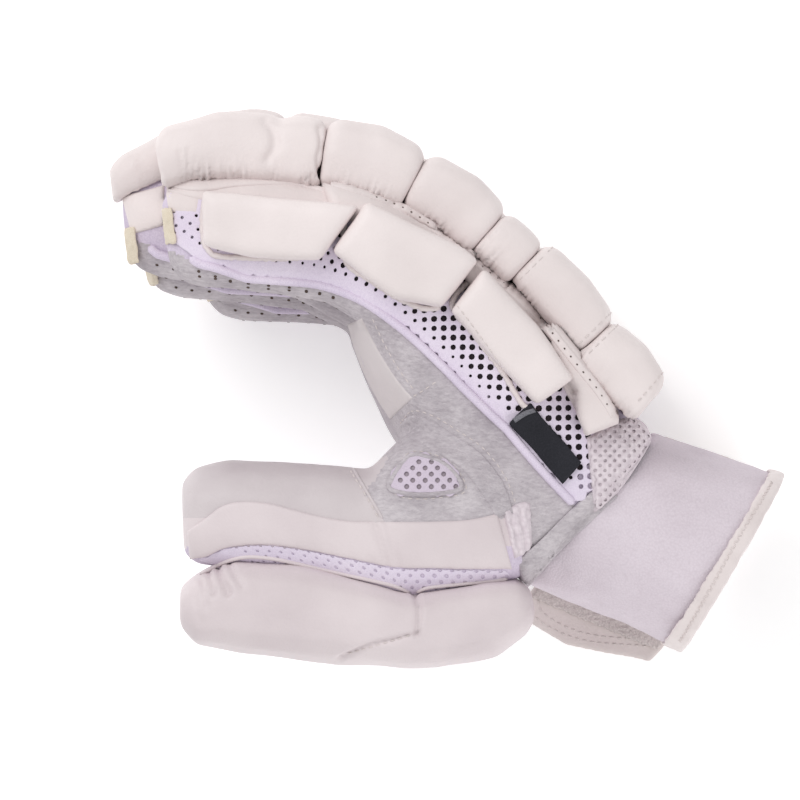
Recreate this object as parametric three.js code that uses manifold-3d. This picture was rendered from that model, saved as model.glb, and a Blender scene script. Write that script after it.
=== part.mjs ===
// A right-hand cricket batting glove, lying on its little-finger side.
// Fingers point to -X, the back of the hand to +Y, and the thumb side is uppermost at +Z.
// Sizes are millimetres. A digit's spine runs from its tip to the wrist. Heights are measured
// from a spine towards the back of the hand, and depths from it towards the palm.

import * as THREE from "three";
import { LoftGeometry } from "three/addons/geometries/LoftGeometry.js";
import { mergeVertices } from "three/addons/utils/BufferGeometryUtils.js";
import Module from "manifold-3d";

// The hand
const HAND_LENGTH = 185; // along the index finger's spine, from fingertip to wrist
const FINGER_PITCH = 25; // between the spines of neighbouring fingers
const CLEARANCE = 0.35; // between pieces that touch
const OVERLAP = 0.02; // by which shapes that are joined run into each other
const WALL = 2.6; // lined leather or mesh

// The finger stalls
const STALL_WIDTH = 23.4;
const STALL_HEIGHT = 15;
const STALL_DEPTH = 24.5;
const SEAM_DEPTH = 18; // the piped side seam between mesh and palm leather

// The hand's body and wrist
const BACK_HEIGHT = 20;
const PALM_DEPTH = 50;
const WRIST_WIDTH = 95;
const WRIST_LIFT = 3; // clear of the floor at the wrist, above the strap

// Foam rolls and guards
const ROLL_HEIGHT = 38; // top of the finger rolls above the spine
const ROLL_WIDTH = 24.3;
const ROLL_GAP = 0.6; // crease between neighbouring rolls
const SIDE_GUARD = 12.5; // thickness of the pads on the index finger's side
const SIDE_PANEL = 2.5; // thickness of the flat leather panel behind them
const REST_GUARD = 9.5; // thickness of the pads on the little finger's side
const GUARD_BEVEL = 3.5;
const GUARD_SKIRT = 6; // how far a side pad reaches down round the finger's edge
const THUMB_ROLL_DEPTH = 49; // bottom of the thumb's roll below its spine
const THUMB_ROLL_WIDTH = 45;

// The thumb
const THUMB_LENGTH = 128; // from the thumb's tip to the end of its spine inside the palm
const THUMB_WIDTH = 40;
const THUMB_HEIGHT = 18;
const THUMB_PLACE = 92; // height of the thumb's spine above the floor
const PANEL_TOP = -1; // upper edge of the white side panel, from the spine
const PANEL_FOOT = -10.5; // its lower edge

// The wristband and strap
const CUFF_WALL = 3.4;
const CUFF_LENGTH = 53; // along its middle
const CUFF_HALF = 34.2; // half its height
const CUFF_WIDTH = 95; // across the wrist
const CUFF_TURN = -21; // degrees that the forearm points below the X axis
const CUFF_SLANT = 9.6; // degrees that the open end leans from square
const CUFF_PRESS = 1.6; // how far its lower side is pressed flat
const BINDING_WIDTH = 5;
const BINDING_WALL = 1.2;
const STRAP_THICK = 2;
const STRAP_WIDTH = 42;
const STRAP_TAB = 15; // how far the strap's end reaches past the cuff
const STRAP_RISE = 30; // how far the strap climbs round the back of the wrist
const HOOK_WIDTH = 8;
const HOOK_THICK = 1.2;

// Trim
const PIPING_RADIUS = 1.6;
const TAPE_LENGTH = 5;
const TAPE_WALL = 1;
const TAPE_TOP = 5;
const TAPE_FOOT = -7;
const LABEL_LENGTH = 26;
const LABEL_WIDTH = 10;
const LABEL_THICK = 1;

// Colours
const IVORY_LEATHER = 0xeee6e4;
const GREY_SUEDE = 0xbab5bb;
const LILAC_MESH = 0xe2d9e8;
const LILAC_BINDING = 0xddd0e0;
const GREY_LEATHER = 0xd3cbcc;
const TOWELLING = 0xd8ced8;
const BEIGE_TAPE = 0xd8d0b8;
const HOOK_GREY = 0xbdb2b0;
const BLACK_WEAVE = 0x202226;

// The index finger's spine, as shares of HAND_LENGTH from the wrist
const SPINE = [
  { back: 0.836, rise: 0.452 },
  { back: 0.744, rise: 0.463 },
  { back: 0.634, rise: 0.456 },
  { back: 0.524, rise: 0.441 },
  { back: 0.432, rise: 0.404 },
  { back: 0.349, rise: 0.344 },
  { back: 0.257, rise: 0.257 },
  { back: 0.165, rise: 0.156 },
  { back: 0.083, rise: 0.074 },
  { back: 0, rise: 0 },
];

// The four fingers from the floor up, with their tips moved by shares of HAND_LENGTH. `start`
// is where a stall starts on its spine. `nose` and `toe` say how low the top and the foot of
// its first roll start, and `tape` how far its tape sits down its tip, as a share of
// STALL_HEIGHT.
const FINGERS = [
  { name: "little", reach: -0.043, drop: 0.065, start: 0.015, nose: 0.62, toe: 1, tape: 0.5 },
  { name: "ring", reach: 0.07, drop: 0.02, start: 0.02, nose: 0.55, toe: 0.4, tape: 0.7 },
  { name: "middle", reach: 0.101, drop: -0.02, start: 0.02, nose: 0.53, toe: 0.3, tape: 0.7 },
  { name: "index", reach: 0, drop: 0, start: 0, nose: 1, toe: 1, tape: 0 },
];

// A stall along its length, with shares of STALL_WIDTH, STALL_HEIGHT and STALL_DEPTH
const STALL_RINGS = [
  { along: 0, width: 0.5, height: 0.5, depth: 0.6 },
  { along: 0.03, width: 0.82, height: 0.78, depth: 0.82 },
  { along: 0.11, width: 0.97, height: 0.96, depth: 0.95 },
  { along: 0.3, width: 1, height: 1, depth: 1 },
  { along: 0.62, width: 1, height: 1, depth: 1 },
  { along: 1, width: 1, height: 1, depth: 0.96 },
];
const STALL_END = 0.54; // share of the spine that a stall covers

// The seam along a finger and the hand, with shares of SEAM_DEPTH
const SEAM_LINE = [
  { along: -0.02, depth: 0.2 },
  { along: 0.055, depth: 0.86 },
  { along: 0.16, depth: 1.12 },
  { along: 0.36, depth: 1.07 },
  { along: 0.53, depth: 1.01 },
  { along: 0.69, depth: 0.98 },
  { along: 0.8, depth: 0.9 },
  { along: 0.94, depth: 1.03 },
  { along: 1.02, depth: 1.1 },
];
const SEAM_STEPS = 10;
const PIPING_START = 0.034; // share of the spine from a stall's start to its piping's
const PIPING_END = 0.4; // where a finger's piping meets the hand
const INDEX_PIPING_END = 0.985; // where the index finger's piping meets the cuff

// The hand's body along the spine, with shares of BACK_HEIGHT, PALM_DEPTH and STALL_WIDTH
const BODY_RINGS = [
  { along: 0.41, height: 0.68, depth: 0.38, inset: 0.14 },
  { along: 0.46, height: 0.8, depth: 0.58, inset: 0.04 },
  { along: 0.55, height: 0.9, depth: 0.73, inset: 0 },
  { along: 0.66, height: 1, depth: 0.88, inset: 0 },
  { along: 0.79, height: 1, depth: 1, inset: 0 },
  { along: 0.9, height: 0.93, depth: 1, inset: 0 },
  { along: 1, height: 0.86, depth: 1.05, inset: 0 },
];

// Rows of rolls from tip to wrist: shares of the spine, and heights as shares of ROLL_HEIGHT
const ROLL_ROWS = [
  { name: "tip", from: 0.004, to: 0.194, foot: 0.33, start: 0.8, middle: 0.94, end: 1 },
  { name: "hinge", from: 0.194, to: 0.272, foot: 0.34, start: 0.95, middle: 0.96, end: 0.94 },
  { name: "middle", from: 0.272, to: 0.4, foot: 0.36, start: 0.98, middle: 1.01, end: 0.96 },
  { name: "base", from: 0.4, to: 0.532, foot: 0.41, start: 0.96, middle: 1, end: 0.97 },
  { name: "knuckle", from: 0.532, to: 0.612, foot: 0.45, start: 0.94, middle: 0.95, end: 0.95 },
  { name: "back", from: 0.612, to: 0.795, foot: 0.5, start: 1, middle: 1.03, end: 0.96 },
  { name: "wrist", from: 0.795, to: 0.96, foot: 0.4, start: 0.96, middle: 0.98, end: 0.87 },
];

// How a roll rounds off at its ends, with shares of its height above its foot and its width
const ROLL_STATIONS = [
  { along: 0, crown: 0.88, girth: 0.95 },
  { along: 0.1, crown: 0.98, girth: 1 },
  { along: 0.5, crown: 1, girth: 1 },
  { along: 0.9, crown: 0.98, girth: 1 },
  { along: 1, crown: 0.88, girth: 0.95 },
];

// Guards on the sides of the hand, with corners as shares of the spine and of STALL_HEIGHT
const SIDE_GUARDS = [
  {
    name: "tip",
    corners: [
      { along: 0.075, rise: 0.6 },
      { along: 0.34, rise: 0.64 },
      { along: 0.295, rise: -0.74 },
      { along: 0.17, rise: -0.86 },
      { along: 0.07, rise: -0.6 },
    ],
  },
  {
    name: "middle",
    corners: [
      { along: 0.35, rise: 0.8 },
      { along: 0.518, rise: 1.06 },
      { along: 0.55, rise: 1.06 },
      { along: 0.557, rise: -0.26 },
      { along: 0.48, rise: -0.78 },
      { along: 0.32, rise: -0.5 },
    ],
  },
  {
    name: "base",
    corners: [
      { along: 0.567, rise: 1.02 },
      { along: 0.7, rise: 1 },
      { along: 0.82, rise: 0.8 },
      { along: 0.806, rise: -0.2 },
      { along: 0.7, rise: -0.22 },
      { along: 0.577, rise: -0.16 },
    ],
  },
];
const WRIST_PANEL = [
  { along: 0.71, rise: 1.2 },
  { along: 0.796, rise: 1.3 },
  { along: 0.935, rise: 0.74 },
  { along: 0.91, rise: 0.03 },
  { along: 0.855, rise: 0.72 },
];

// The thumb's spine, with shares of THUMB_LENGTH and, over the floor, of THUMB_PLACE
const THUMB_SPINE = [
  { along: 0, rise: -0.125, lift: 1 },
  { along: 0.18, rise: -0.122, lift: 1 },
  { along: 0.39, rise: -0.13, lift: 1 },
  { along: 0.58, rise: -0.141, lift: 0.985 },
  { along: 0.73, rise: -0.138, lift: 0.965 },
  { along: 0.87, rise: -0.12, lift: 0.93 },
  { along: 1, rise: -0.093, lift: 0.88 },
];
const THUMB_TIP = 0.803; // the thumb's tip, as a share of HAND_LENGTH from the wrist
const TIP_LEATHER_END = 0.43; // where its tip's leather ends on the thumb's spine
const TIP_LEATHER_LEAN = 0.11; // how far that edge leans, as a share of THUMB_LENGTH
const TIP_LEATHER_TOP = 1.2; // how high the cut for it reaches, as a share of THUMB_HEIGHT
const THUMB_BACK_END = 0.9;

// The thumb's stall along its spine, with shares of THUMB_WIDTH and, both ways, THUMB_HEIGHT
const THUMB_RINGS = [
  { along: 0, width: 0.62, top: 0.66, foot: 0.7 },
  { along: 0.035, width: 0.86, top: 0.92, foot: 0.9 },
  { along: 0.12, width: 1, top: 1.06, foot: 1 },
  { along: 0.36, width: 1, top: 1.02, foot: 1.1 },
  { along: 0.48, width: 1.01, top: 1.02, foot: 1.35 },
  { along: 0.56, width: 1.02, top: 1.6, foot: 1.5 },
  { along: 0.63, width: 1.02, top: 1.8, foot: 1.5 },
  { along: 0.8, width: 1.02, top: 1.4, foot: 1.3 },
  { along: 1, width: 0.86, top: 1.1, foot: 1.1 },
];

// The thumb's roll along its spine, with shares of THUMB_ROLL_DEPTH and THUMB_ROLL_WIDTH
const THUMB_ROLL_RINGS = [
  { along: -0.005, top: 0.5, foot: 0.76, width: 0.78 },
  { along: 0.03, top: 0.42, foot: 0.88, width: 0.93 },
  { along: 0.14, top: 0.28, foot: 0.94, width: 1 },
  { along: 0.3, top: 0.29, foot: 0.98, width: 1 },
  { along: 0.42, top: 0.34, foot: 0.99, width: 1 },
  { along: 0.6, top: 0.47, foot: 1, width: 1 },
  { along: 0.66, top: 0.44, foot: 1, width: 1 },
  { along: 0.78, top: 0.41, foot: 0.95, width: 0.96 },
  { along: 0.85, top: 0.45, foot: 0.84, width: 0.82 },
  { along: 0.875, top: 0.54, foot: 0.74, width: 0.6 },
];

// Where the thumb's second roll meets the first, with depths as shares of THUMB_ROLL_DEPTH
const ROLL_SPLIT = [
  { along: 0.615, depth: 0 },
  { along: 0.61, depth: 0.8 },
  { along: 0.41, depth: 0.97 },
  { along: 0.38, depth: 1.5 },
];

// The strap lying under the cuff, with shares of CUFF_LENGTH, CUFF_HALF and STRAP_TAB
const STRAP_CORNERS = [
  { along: 0.9, half: 0.6, tab: 0 },
  { along: 0.97, half: 0.85, tab: 0 },
  { along: 0.93, half: 1, tab: 0.6 },
  { along: 0.48, half: 1, tab: 1 },
  { along: 0.14, half: 1, tab: 0.82 },
  { along: 0.1, half: 0.9, tab: 0 },
];

const STALL_POWER = 2.6; // squareness of the stalls' sections
const BODY_POWER = 3;
const ROLL_POWER = 3.4;
const CUFF_POWER = 2.4;
const CUT_REACH = HAND_LENGTH * 1.5; // how far the cutting shapes reach past the glove

const wasm = await Module();
wasm.setup();

const mix = THREE.MathUtils.lerp;
const clamp = THREE.MathUtils.clamp;

// A geometry's surface as a solid that can be joined and cut.
function solidOf(geometry) {
  const bare = new THREE.BufferGeometry();
  bare.setAttribute("position", geometry.attributes.position);
  bare.setIndex(geometry.index);
  const merged = mergeVertices(bare, 1e-4);
  const corners = merged.index.array;
  const kept = [];
  for (let i = 0; i < corners.length; i += 3) {
    const [a, b, c] = corners.slice(i, i + 3);
    if (a !== b && b !== c && c !== a) kept.push(a, b, c);
  }
  const mesh = new wasm.Mesh({
    numProp: 3,
    vertProperties: merged.attributes.position.array,
    triVerts: new Uint32Array(kept),
  });
  return new wasm.Manifold(mesh);
}

// A solid's surface as a faceted geometry.
function geometryOf(solid) {
  const { vertProperties, triVerts } = solid.getMesh();
  const geometry = new THREE.BufferGeometry();
  geometry.setAttribute("position", new THREE.BufferAttribute(vertProperties, 3));
  geometry.setIndex(new THREE.BufferAttribute(triVerts, 1));
  const faceted = geometry.toNonIndexed();
  faceted.computeVertexNormals();
  return faceted;
}

const join = (solids) => solids.reduce((whole, next) => whole.add(next));

// A column of a table at a place along it, straight between its rows.
function readTable(rows, along, column) {
  const next = rows.findIndex((row) => row.along > along);
  const place = clamp(next < 0 ? rows.length - 1 : next, 1, rows.length - 1);
  const before = rows[place - 1];
  const after = rows[place];
  const share = clamp((along - before.along) / (after.along - before.along), 0, 1);
  return mix(before[column], after[column], share);
}

// A curve with a place, a direction and an upward normal at each share of its length.
// Shares below 0 and above 1 carry on straight.
function spineThrough(points) {
  const curve = new THREE.CatmullRomCurve3(points);
  const length = curve.getLength();
  const at = (share) => {
    const inside = clamp(share, 0, 1);
    const along = curve.getTangentAt(inside).setZ(0).normalize();
    const point = curve.getPointAt(inside).addScaledVector(along, (share - inside) * length);
    const up = new THREE.Vector3(-along.y, along.x, 0);
    return { point, along, up };
  };
  return { length, at };
}

// A point at a height above a spine.
function above(spine, share, height) {
  const { point, up } = spine.at(share);
  return point.addScaledVector(up, height);
}

const fingerPlace = (row) => REST_GUARD + CLEARANCE + STALL_WIDTH / 2 + row * FINGER_PITCH;

function fingerSpine(finger, row) {
  const points = SPINE.map((knot, i) => {
    const fade = 1 - i / (SPINE.length - 1);
    return new THREE.Vector3(
      -HAND_LENGTH * (knot.back + finger.reach * fade),
      HAND_LENGTH * (knot.rise - finger.drop * fade),
      fingerPlace(row),
    );
  });
  return spineThrough(points);
}

const fingers = FINGERS.map((finger, row) => ({
  ...finger,
  place: fingerPlace(row),
  spine: fingerSpine(finger, row),
}));
const little = fingers[0];
const index = fingers[fingers.length - 1];
const INDEX_SIDE = index.place + STALL_WIDTH / 2;
const LITTLE_SIDE = little.place - STALL_WIDTH / 2;

const thumbKnots = THUMB_SPINE.map((knot) => {
  const x = THUMB_LENGTH * knot.along - HAND_LENGTH * THUMB_TIP;
  return new THREE.Vector3(x, THUMB_LENGTH * knot.rise, THUMB_PLACE * knot.lift);
});
const thumbSpine = spineThrough(thumbKnots);

// A closed ring across a spine: a rounded box from `foot` to `top` along the normal and from
// `low` to `high` in Z. `skew` lowers the side nearest the floor.
function ring(frame, { top, foot, low, high, power = STALL_POWER, sides = 12, skew = 0 }) {
  const bend = (value) => Math.sign(value) * Math.abs(value) ** (2 / power);
  const points = [];
  for (let i = 0; i < sides; i++) {
    const angle = ((i + 0.5) / sides) * Math.PI * 2;
    const z = (low + high) / 2 + ((high - low) / 2) * bend(Math.sin(angle));
    const sunk = skew * (1 - (z - low) / (high - low));
    const height = (top + foot) / 2 + ((top - foot) / 2) * bend(Math.cos(angle)) - sunk;
    points.push(frame.point.clone().addScaledVector(frame.up, height).setZ(z));
  }
  return points;
}

const loft = (rings) => solidOf(new LoftGeometry(rings, { capStart: true, capEnd: true }));

// A stall's extents at a share of its own length, grown outwards by `grow`.
function stallExtents(finger, along, grow) {
  const half = (STALL_WIDTH / 2) * readTable(STALL_RINGS, along, "width") + grow;
  return {
    top: STALL_HEIGHT * readTable(STALL_RINGS, along, "height") + grow,
    foot: -STALL_DEPTH * readTable(STALL_RINGS, along, "depth") - grow,
    low: finger.place - half,
    high: finger.place + half,
    power: STALL_POWER,
  };
}

// A finger stall. A negative `grow` gives its hollow.
function stall(finger, grow) {
  const rings = STALL_RINGS.map(({ along }) => {
    const past = ((1 - along) * grow) / finger.spine.length;
    const share = mix(finger.start, STALL_END, along) - past;
    return ring(finger.spine.at(share), stallExtents(finger, along, grow));
  });
  return loft(rings);
}

// The height of the seam between a finger's mesh and its palm side.
function seamHeight(finger, share) {
  return -SEAM_DEPTH * readTable(SEAM_LINE, share - finger.start, "depth");
}

// The Z of the hand's sides at a share of the spine, narrowing towards the wrist.
function handSides(share) {
  const knuckles = BODY_RINGS[0].along;
  const fade = clamp((share - knuckles) / (1 - knuckles), 0, 1) ** 2;
  return {
    low: mix(LITTLE_SIDE, WRIST_LIFT, fade),
    high: mix(INDEX_SIDE, WRIST_LIFT + WRIST_WIDTH, fade),
  };
}

function bodyExtents(share, grow) {
  const { low, high } = handSides(share);
  const inset = STALL_WIDTH * readTable(BODY_RINGS, share, "inset") - grow;
  return {
    top: BACK_HEIGHT * readTable(BODY_RINGS, share, "height") + grow,
    foot: -PALM_DEPTH * readTable(BODY_RINGS, share, "depth") - grow,
    low: low + inset,
    high: high - inset,
    power: BODY_POWER,
  };
}

// The hand between knuckles and wrist. Its hollow runs on past the wrist.
function body(grow) {
  const rings = BODY_RINGS.map(({ along }) => {
    const past = grow < 0 && along === 1 ? WALL : 0;
    const ahead = grow > 0 && along === BODY_RINGS[0].along ? grow : 0;
    const frame = index.spine.at(along + (past - ahead) / HAND_LENGTH);
    const skew = little.drop * HAND_LENGTH * (1 - along);
    return ring(frame, { ...bodyExtents(along, grow), skew, sides: 16 });
  });
  return loft(rings);
}

function thumbStall(grow) {
  const rings = THUMB_RINGS.map((row) => {
    const past = row.along === 0 ? grow / THUMB_LENGTH : 0;
    const frame = thumbSpine.at(row.along - past);
    const half = (THUMB_WIDTH / 2) * row.width + grow;
    return ring(frame, {
      top: THUMB_HEIGHT * row.top + grow,
      foot: -THUMB_HEIGHT * row.foot - grow,
      low: frame.point.z - half,
      high: frame.point.z + half,
    });
  });
  return loft(rings);
}

// A solid that fills a drawn outline between two heights. Its top can slope along X and Y.
function prism(outline, low, high, { bevel = 0, slope = { x: 0, y: 0 } } = {}) {
  const shape = new THREE.Shape(outline.map((p) => new THREE.Vector2(p.x, p.y)));
  const geometry = new THREE.ExtrudeGeometry(shape, {
    depth: high - low - 2 * bevel,
    bevelEnabled: bevel > 0,
    bevelThickness: bevel,
    bevelSize: bevel,
    bevelOffset: -bevel,
    bevelSegments: 2,
  });
  geometry.translate(0, 0, low + bevel);
  const places = geometry.attributes.position;
  for (let i = 0; i < places.count; i++) {
    const [x, y] = [places.getX(i) - outline[0].x, places.getY(i) - outline[0].y];
    places.setZ(i, places.getZ(i) + x * slope.x + y * slope.y);
  }
  return solidOf(geometry);
}

// All on the forearm's side of the wrist.
function pastWrist() {
  const { point, along, up } = index.spine.at(1);
  const far = point.clone().addScaledVector(along, CUT_REACH);
  const outline = [
    point.clone().addScaledVector(up, CUT_REACH),
    point.clone().addScaledVector(up, -CUT_REACH),
    far.clone().addScaledVector(up, -CUT_REACH),
    far.clone().addScaledVector(up, CUT_REACH),
  ];
  return prism(outline, -CUT_REACH, CUT_REACH);
}

function handForm(grow) {
  return join([...fingers.map((finger) => stall(finger, grow)), body(grow), thumbStall(grow)]);
}
const clearForm = handForm(CLEARANCE);
const shell = handForm(0).subtract(handForm(-WALL)).subtract(pastWrist());

// A drawn line closed far away on the palm side, as an outline.
function openDown(line) {
  const last = line[line.length - 1];
  return [
    ...line,
    new THREE.Vector3(last.x, -CUT_REACH, 0),
    new THREE.Vector3(line[0].x, -CUT_REACH, 0),
  ];
}

// The palm side of all four fingers, each with its own seam for an edge.
function palmRegion(lift) {
  const slabs = fingers.map((finger, i) => {
    const half = FINGER_PITCH / 2 + OVERLAP;
    const low = i === 0 ? -CUT_REACH : finger.place - half;
    const high = i === fingers.length - 1 ? CUT_REACH : finger.place + half;
    const line = [];
    for (let step = -1; step <= SEAM_STEPS; step++) {
      const share = (step + 0.5) / SEAM_STEPS;
      line.push(above(finger.spine, share, seamHeight(finger, share) + lift));
    }
    return prism(openDown(line), low, high);
  });
  return join(slabs);
}

// The part of the thumb below a height from its spine, from past its tip as far as `end`.
// `lean` slants that end from the side panel up.
function thumbBelow(height, end, grow, lean = 0) {
  const steps = 8;
  const line = [];
  for (let step = -1; step < steps; step++) {
    line.push(above(thumbSpine, ((step + 0.5) / steps) * end, height + grow));
  }
  line.push(above(thumbSpine, end, height + grow));
  const foot = above(thumbSpine, end, PANEL_TOP);
  foot.x = thumbSpine.at(end).point.x + grow;
  line[line.length - 1].x = foot.x + lean * THUMB_LENGTH;
  if (lean > 0) line.push(foot);
  return prism(openDown(line), THUMB_PLACE - THUMB_WIDTH / 2 - WALL - grow, CUT_REACH);
}

function handPieces() {
  const palm = shell.intersect(palmRegion(0));
  const tipTop = THUMB_HEIGHT * TIP_LEATHER_TOP;
  const tipCut = (grow) => thumbBelow(tipTop, TIP_LEATHER_END, grow, TIP_LEATHER_LEAN);
  const sideCut = (grow) => thumbBelow(PANEL_TOP, THUMB_BACK_END, grow);
  const backCut = (grow) => thumbBelow(PANEL_FOOT, THUMB_BACK_END, grow);
  const abovePanel = palm.subtract(sideCut(CLEARANCE));
  return {
    back: shell.subtract(palmRegion(CLEARANCE)),
    palm: abovePanel.subtract(tipCut(CLEARANCE)),
    thumbTip: abovePanel.intersect(tipCut(0)),
    thumbPanel: palm.intersect(sideCut(0)).subtract(backCut(CLEARANCE)),
    thumbBack: palm.intersect(backCut(0)),
  };
}

// One foam roll across a finger.
function roll(finger, row, grow) {
  const gap = (ROLL_GAP / 2 - grow) / HAND_LENGTH;
  const first = row === ROLL_ROWS[0];
  const rings = ROLL_STATIONS.map((station) => {
    const bow = 4 * station.along * (1 - station.along);
    const nose = first ? mix(finger.nose, 1, station.along) : 1;
    const toe = first ? mix(finger.toe, 1, station.along) : 1;
    const foot = ROLL_HEIGHT * row.foot * toe;
    const level = nose * mix(mix(row.start, row.end, station.along), row.middle, bow);
    const half = (ROLL_WIDTH / 2) * station.girth + grow;
    return ring(finger.spine.at(mix(row.from + gap, row.to - gap, station.along)), {
      top: foot + (ROLL_HEIGHT * level - foot) * station.crown + grow,
      foot: foot - grow,
      low: finger.place - half,
      high: finger.place + half,
      power: ROLL_POWER,
      sides: 10,
    });
  });
  return loft(rings);
}

const rollsOf = (finger, grow) => join(ROLL_ROWS.map((row) => roll(finger, row, grow)));

const cornersOn = (spine, corners) =>
  corners.map((corner) => above(spine, corner.along, STALL_HEIGHT * corner.rise));

// A pad on the index finger's side. It leans in with the hand towards the wrist.
function sidePad(outline, from, to, thick, bevel = 0) {
  const fall = handSides(from).high - handSides(to).high;
  const run = index.spine.at(to).point.distanceTo(index.spine.at(from).point);
  const { along } = index.spine.at((from + to) / 2);
  const slope = { x: (-fall / run) * along.x, y: (-fall / run) * along.y };
  const top = handSides(from).high + thick;
  return prism(outline, top - thick - GUARD_SKIRT, top, { bevel, slope }).subtract(clearForm);
}

function sideGuard(guard) {
  const outline = cornersOn(index.spine, guard.corners);
  const shares = guard.corners.map((corner) => corner.along);
  return sidePad(outline, Math.min(...shares), Math.max(...shares), SIDE_GUARD, GUARD_BEVEL);
}

// A pad on the little finger's side, with its flat face on the floor.
function restGuard(guard) {
  const outline = cornersOn(little.spine, guard.corners);
  return prism(outline, 0, REST_GUARD + GUARD_SKIRT, { bevel: GUARD_BEVEL }).subtract(clearForm);
}

function thumbRolls() {
  const rings = THUMB_ROLL_RINGS.map((row) => {
    const frame = thumbSpine.at(row.along);
    const half = (THUMB_ROLL_WIDTH / 2) * row.width;
    return ring(frame, {
      top: -THUMB_ROLL_DEPTH * row.top,
      foot: -THUMB_ROLL_DEPTH * row.foot,
      low: frame.point.z - half,
      high: frame.point.z + half,
      sides: 14,
    });
  });
  const whole = loft(rings).subtract(clearForm);
  const secondRegion = (gap) => {
    const line = ROLL_SPLIT.map((knot) => {
      const height = gap - THUMB_ROLL_DEPTH * knot.depth;
      return above(thumbSpine, knot.along - gap / THUMB_LENGTH, height);
    });
    const right = line[0].x + CUT_REACH;
    const foot = new THREE.Vector3(right, line[line.length - 1].y, 0);
    const top = new THREE.Vector3(right, line[0].y, 0);
    return prism([...line, foot, top], 0, CUT_REACH);
  };
  return { first: whole.subtract(secondRegion(ROLL_GAP)), second: whole.intersect(secondRegion(0)) };
}

// The wristband's cross plane at a share of its length, from the wrist to its open end.
function cuffFrame(share) {
  const { point, up } = index.spine.at(1);
  const top = BACK_HEIGHT * BODY_RINGS[BODY_RINGS.length - 1].height;
  const turn = THREE.MathUtils.degToRad(CUFF_TURN);
  const axis = new THREE.Vector3(Math.cos(turn), Math.sin(turn), 0);
  const endAngle = turn + Math.PI / 2 - THREE.MathUtils.degToRad(CUFF_SLANT);
  const angle = mix(Math.atan2(up.y, up.x), endAngle, share);
  return {
    point: point.addScaledVector(up, top - CUFF_HALF).addScaledVector(axis, CUFF_LENGTH * share),
    up: new THREE.Vector3(Math.cos(angle), Math.sin(angle), 0),
  };
}

const CUFF_LOW = STRAP_THICK + CLEARANCE;
const FLOOR_OUTLINE = [
  { x: -CUT_REACH, y: -CUT_REACH },
  { x: CUT_REACH, y: -CUT_REACH },
  { x: CUT_REACH, y: CUT_REACH },
  { x: -CUT_REACH, y: CUT_REACH },
];

// The wristband's form between two shares of its length, grown outwards by `grow`.
function cuffForm(grow, from, to, steps = 2) {
  const low = CUFF_LOW - CUFF_PRESS - grow;
  const rings = [];
  for (let step = 0; step <= steps; step++) {
    rings.push(
      ring(cuffFrame(mix(from, to, step / steps)), {
        top: CUFF_HALF + grow,
        foot: -CUFF_HALF - grow,
        low,
        high: low + CUFF_WIDTH + 2 * grow,
        power: CUFF_POWER,
        sides: 18,
      }),
    );
  }
  return loft(rings).subtract(prism(FLOOR_OUTLINE, -CUT_REACH, CUFF_LOW - grow));
}

function cuff() {
  return cuffForm(0, CLEARANCE / CUFF_LENGTH, 1).subtract(cuffForm(-CUFF_WALL, -0.2, 1.2));
}

function cuffBinding() {
  const reach = CLEARANCE + BINDING_WALL;
  const start = 1 - BINDING_WIDTH / CUFF_LENGTH;
  const outside = cuffForm(reach, start, 1 + reach / CUFF_LENGTH, 1);
  const inside = cuffForm(-CUFF_WALL - reach, 0.6, 1.4, 1);
  const wall = cuffForm(CLEARANCE, 0.6, 1 + CLEARANCE / CUFF_LENGTH, 1);
  const wallInside = cuffForm(-CUFF_WALL - CLEARANCE, 0.5, 1.5, 1);
  return outside.subtract(inside).subtract(wall.subtract(wallInside));
}

// A point on the floor under the cuff, at a height along its cross plane.
function underCuff(share, height) {
  const { point, up } = cuffFrame(share);
  return point.addScaledVector(up, height).setZ(0);
}

function strap() {
  const half = STRAP_WIDTH / 2 / CUFF_LENGTH;
  const [from, to] = [0.5 - half, 0.5 + half];
  const inset = CLEARANCE / CUFF_LENGTH;
  const outside = cuffForm(CLEARANCE + STRAP_THICK, from + inset, to - inset);
  const round = outside.subtract(cuffForm(CLEARANCE, -0.5, 1.5));
  const flatReach = CUFF_HALF * 0.25;
  const backSide = [
    underCuff(-1, flatReach - STRAP_THICK),
    underCuff(2, flatReach - STRAP_THICK),
    underCuff(2, CUT_REACH / 2),
    underCuff(-1, CUT_REACH / 2),
  ];
  const tab = STRAP_CORNERS.map((corner) =>
    underCuff(corner.along, -CUFF_HALF * corner.half - STRAP_TAB * corner.tab),
  );
  const edge = [underCuff(from, flatReach), underCuff(to, flatReach)];
  const flat = prism([...edge, ...tab], 0, STRAP_THICK - OVERLAP);
  return round.intersect(prism(backSide, 0, STRAP_RISE)).add(flat);
}

function strapHook() {
  const inner = STRAP_TAB * 0.25 - CUFF_HALF;
  const outer = inner - HOOK_WIDTH;
  const [first, last] = [STRAP_CORNERS[4].along, STRAP_CORNERS[2].along];
  const outline = [
    underCuff(first, inner),
    underCuff(last, inner),
    underCuff(last, outer),
    underCuff(first, outer),
  ];
  return prism(outline, CUFF_LOW, CUFF_LOW + HOOK_THICK);
}

// A place on a rounded-box section's upper side at a height, with its outward direction.
function onSide({ top, foot, low, high, power }, height) {
  const middle = (top + foot) / 2;
  const tall = (top - foot) / 2;
  const wide = (high - low) / 2;
  const share = clamp((height - middle) / tall, -1, 1);
  const rise = (1 - Math.abs(share) ** power) ** (1 / power);
  const outward = new THREE.Vector2(
    (Math.sign(share) * Math.abs(share) ** (power - 1)) / tall,
    rise ** (power - 1) / wide,
  ).normalize();
  return { z: (low + high) / 2 + wide * rise, outward };
}

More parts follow.
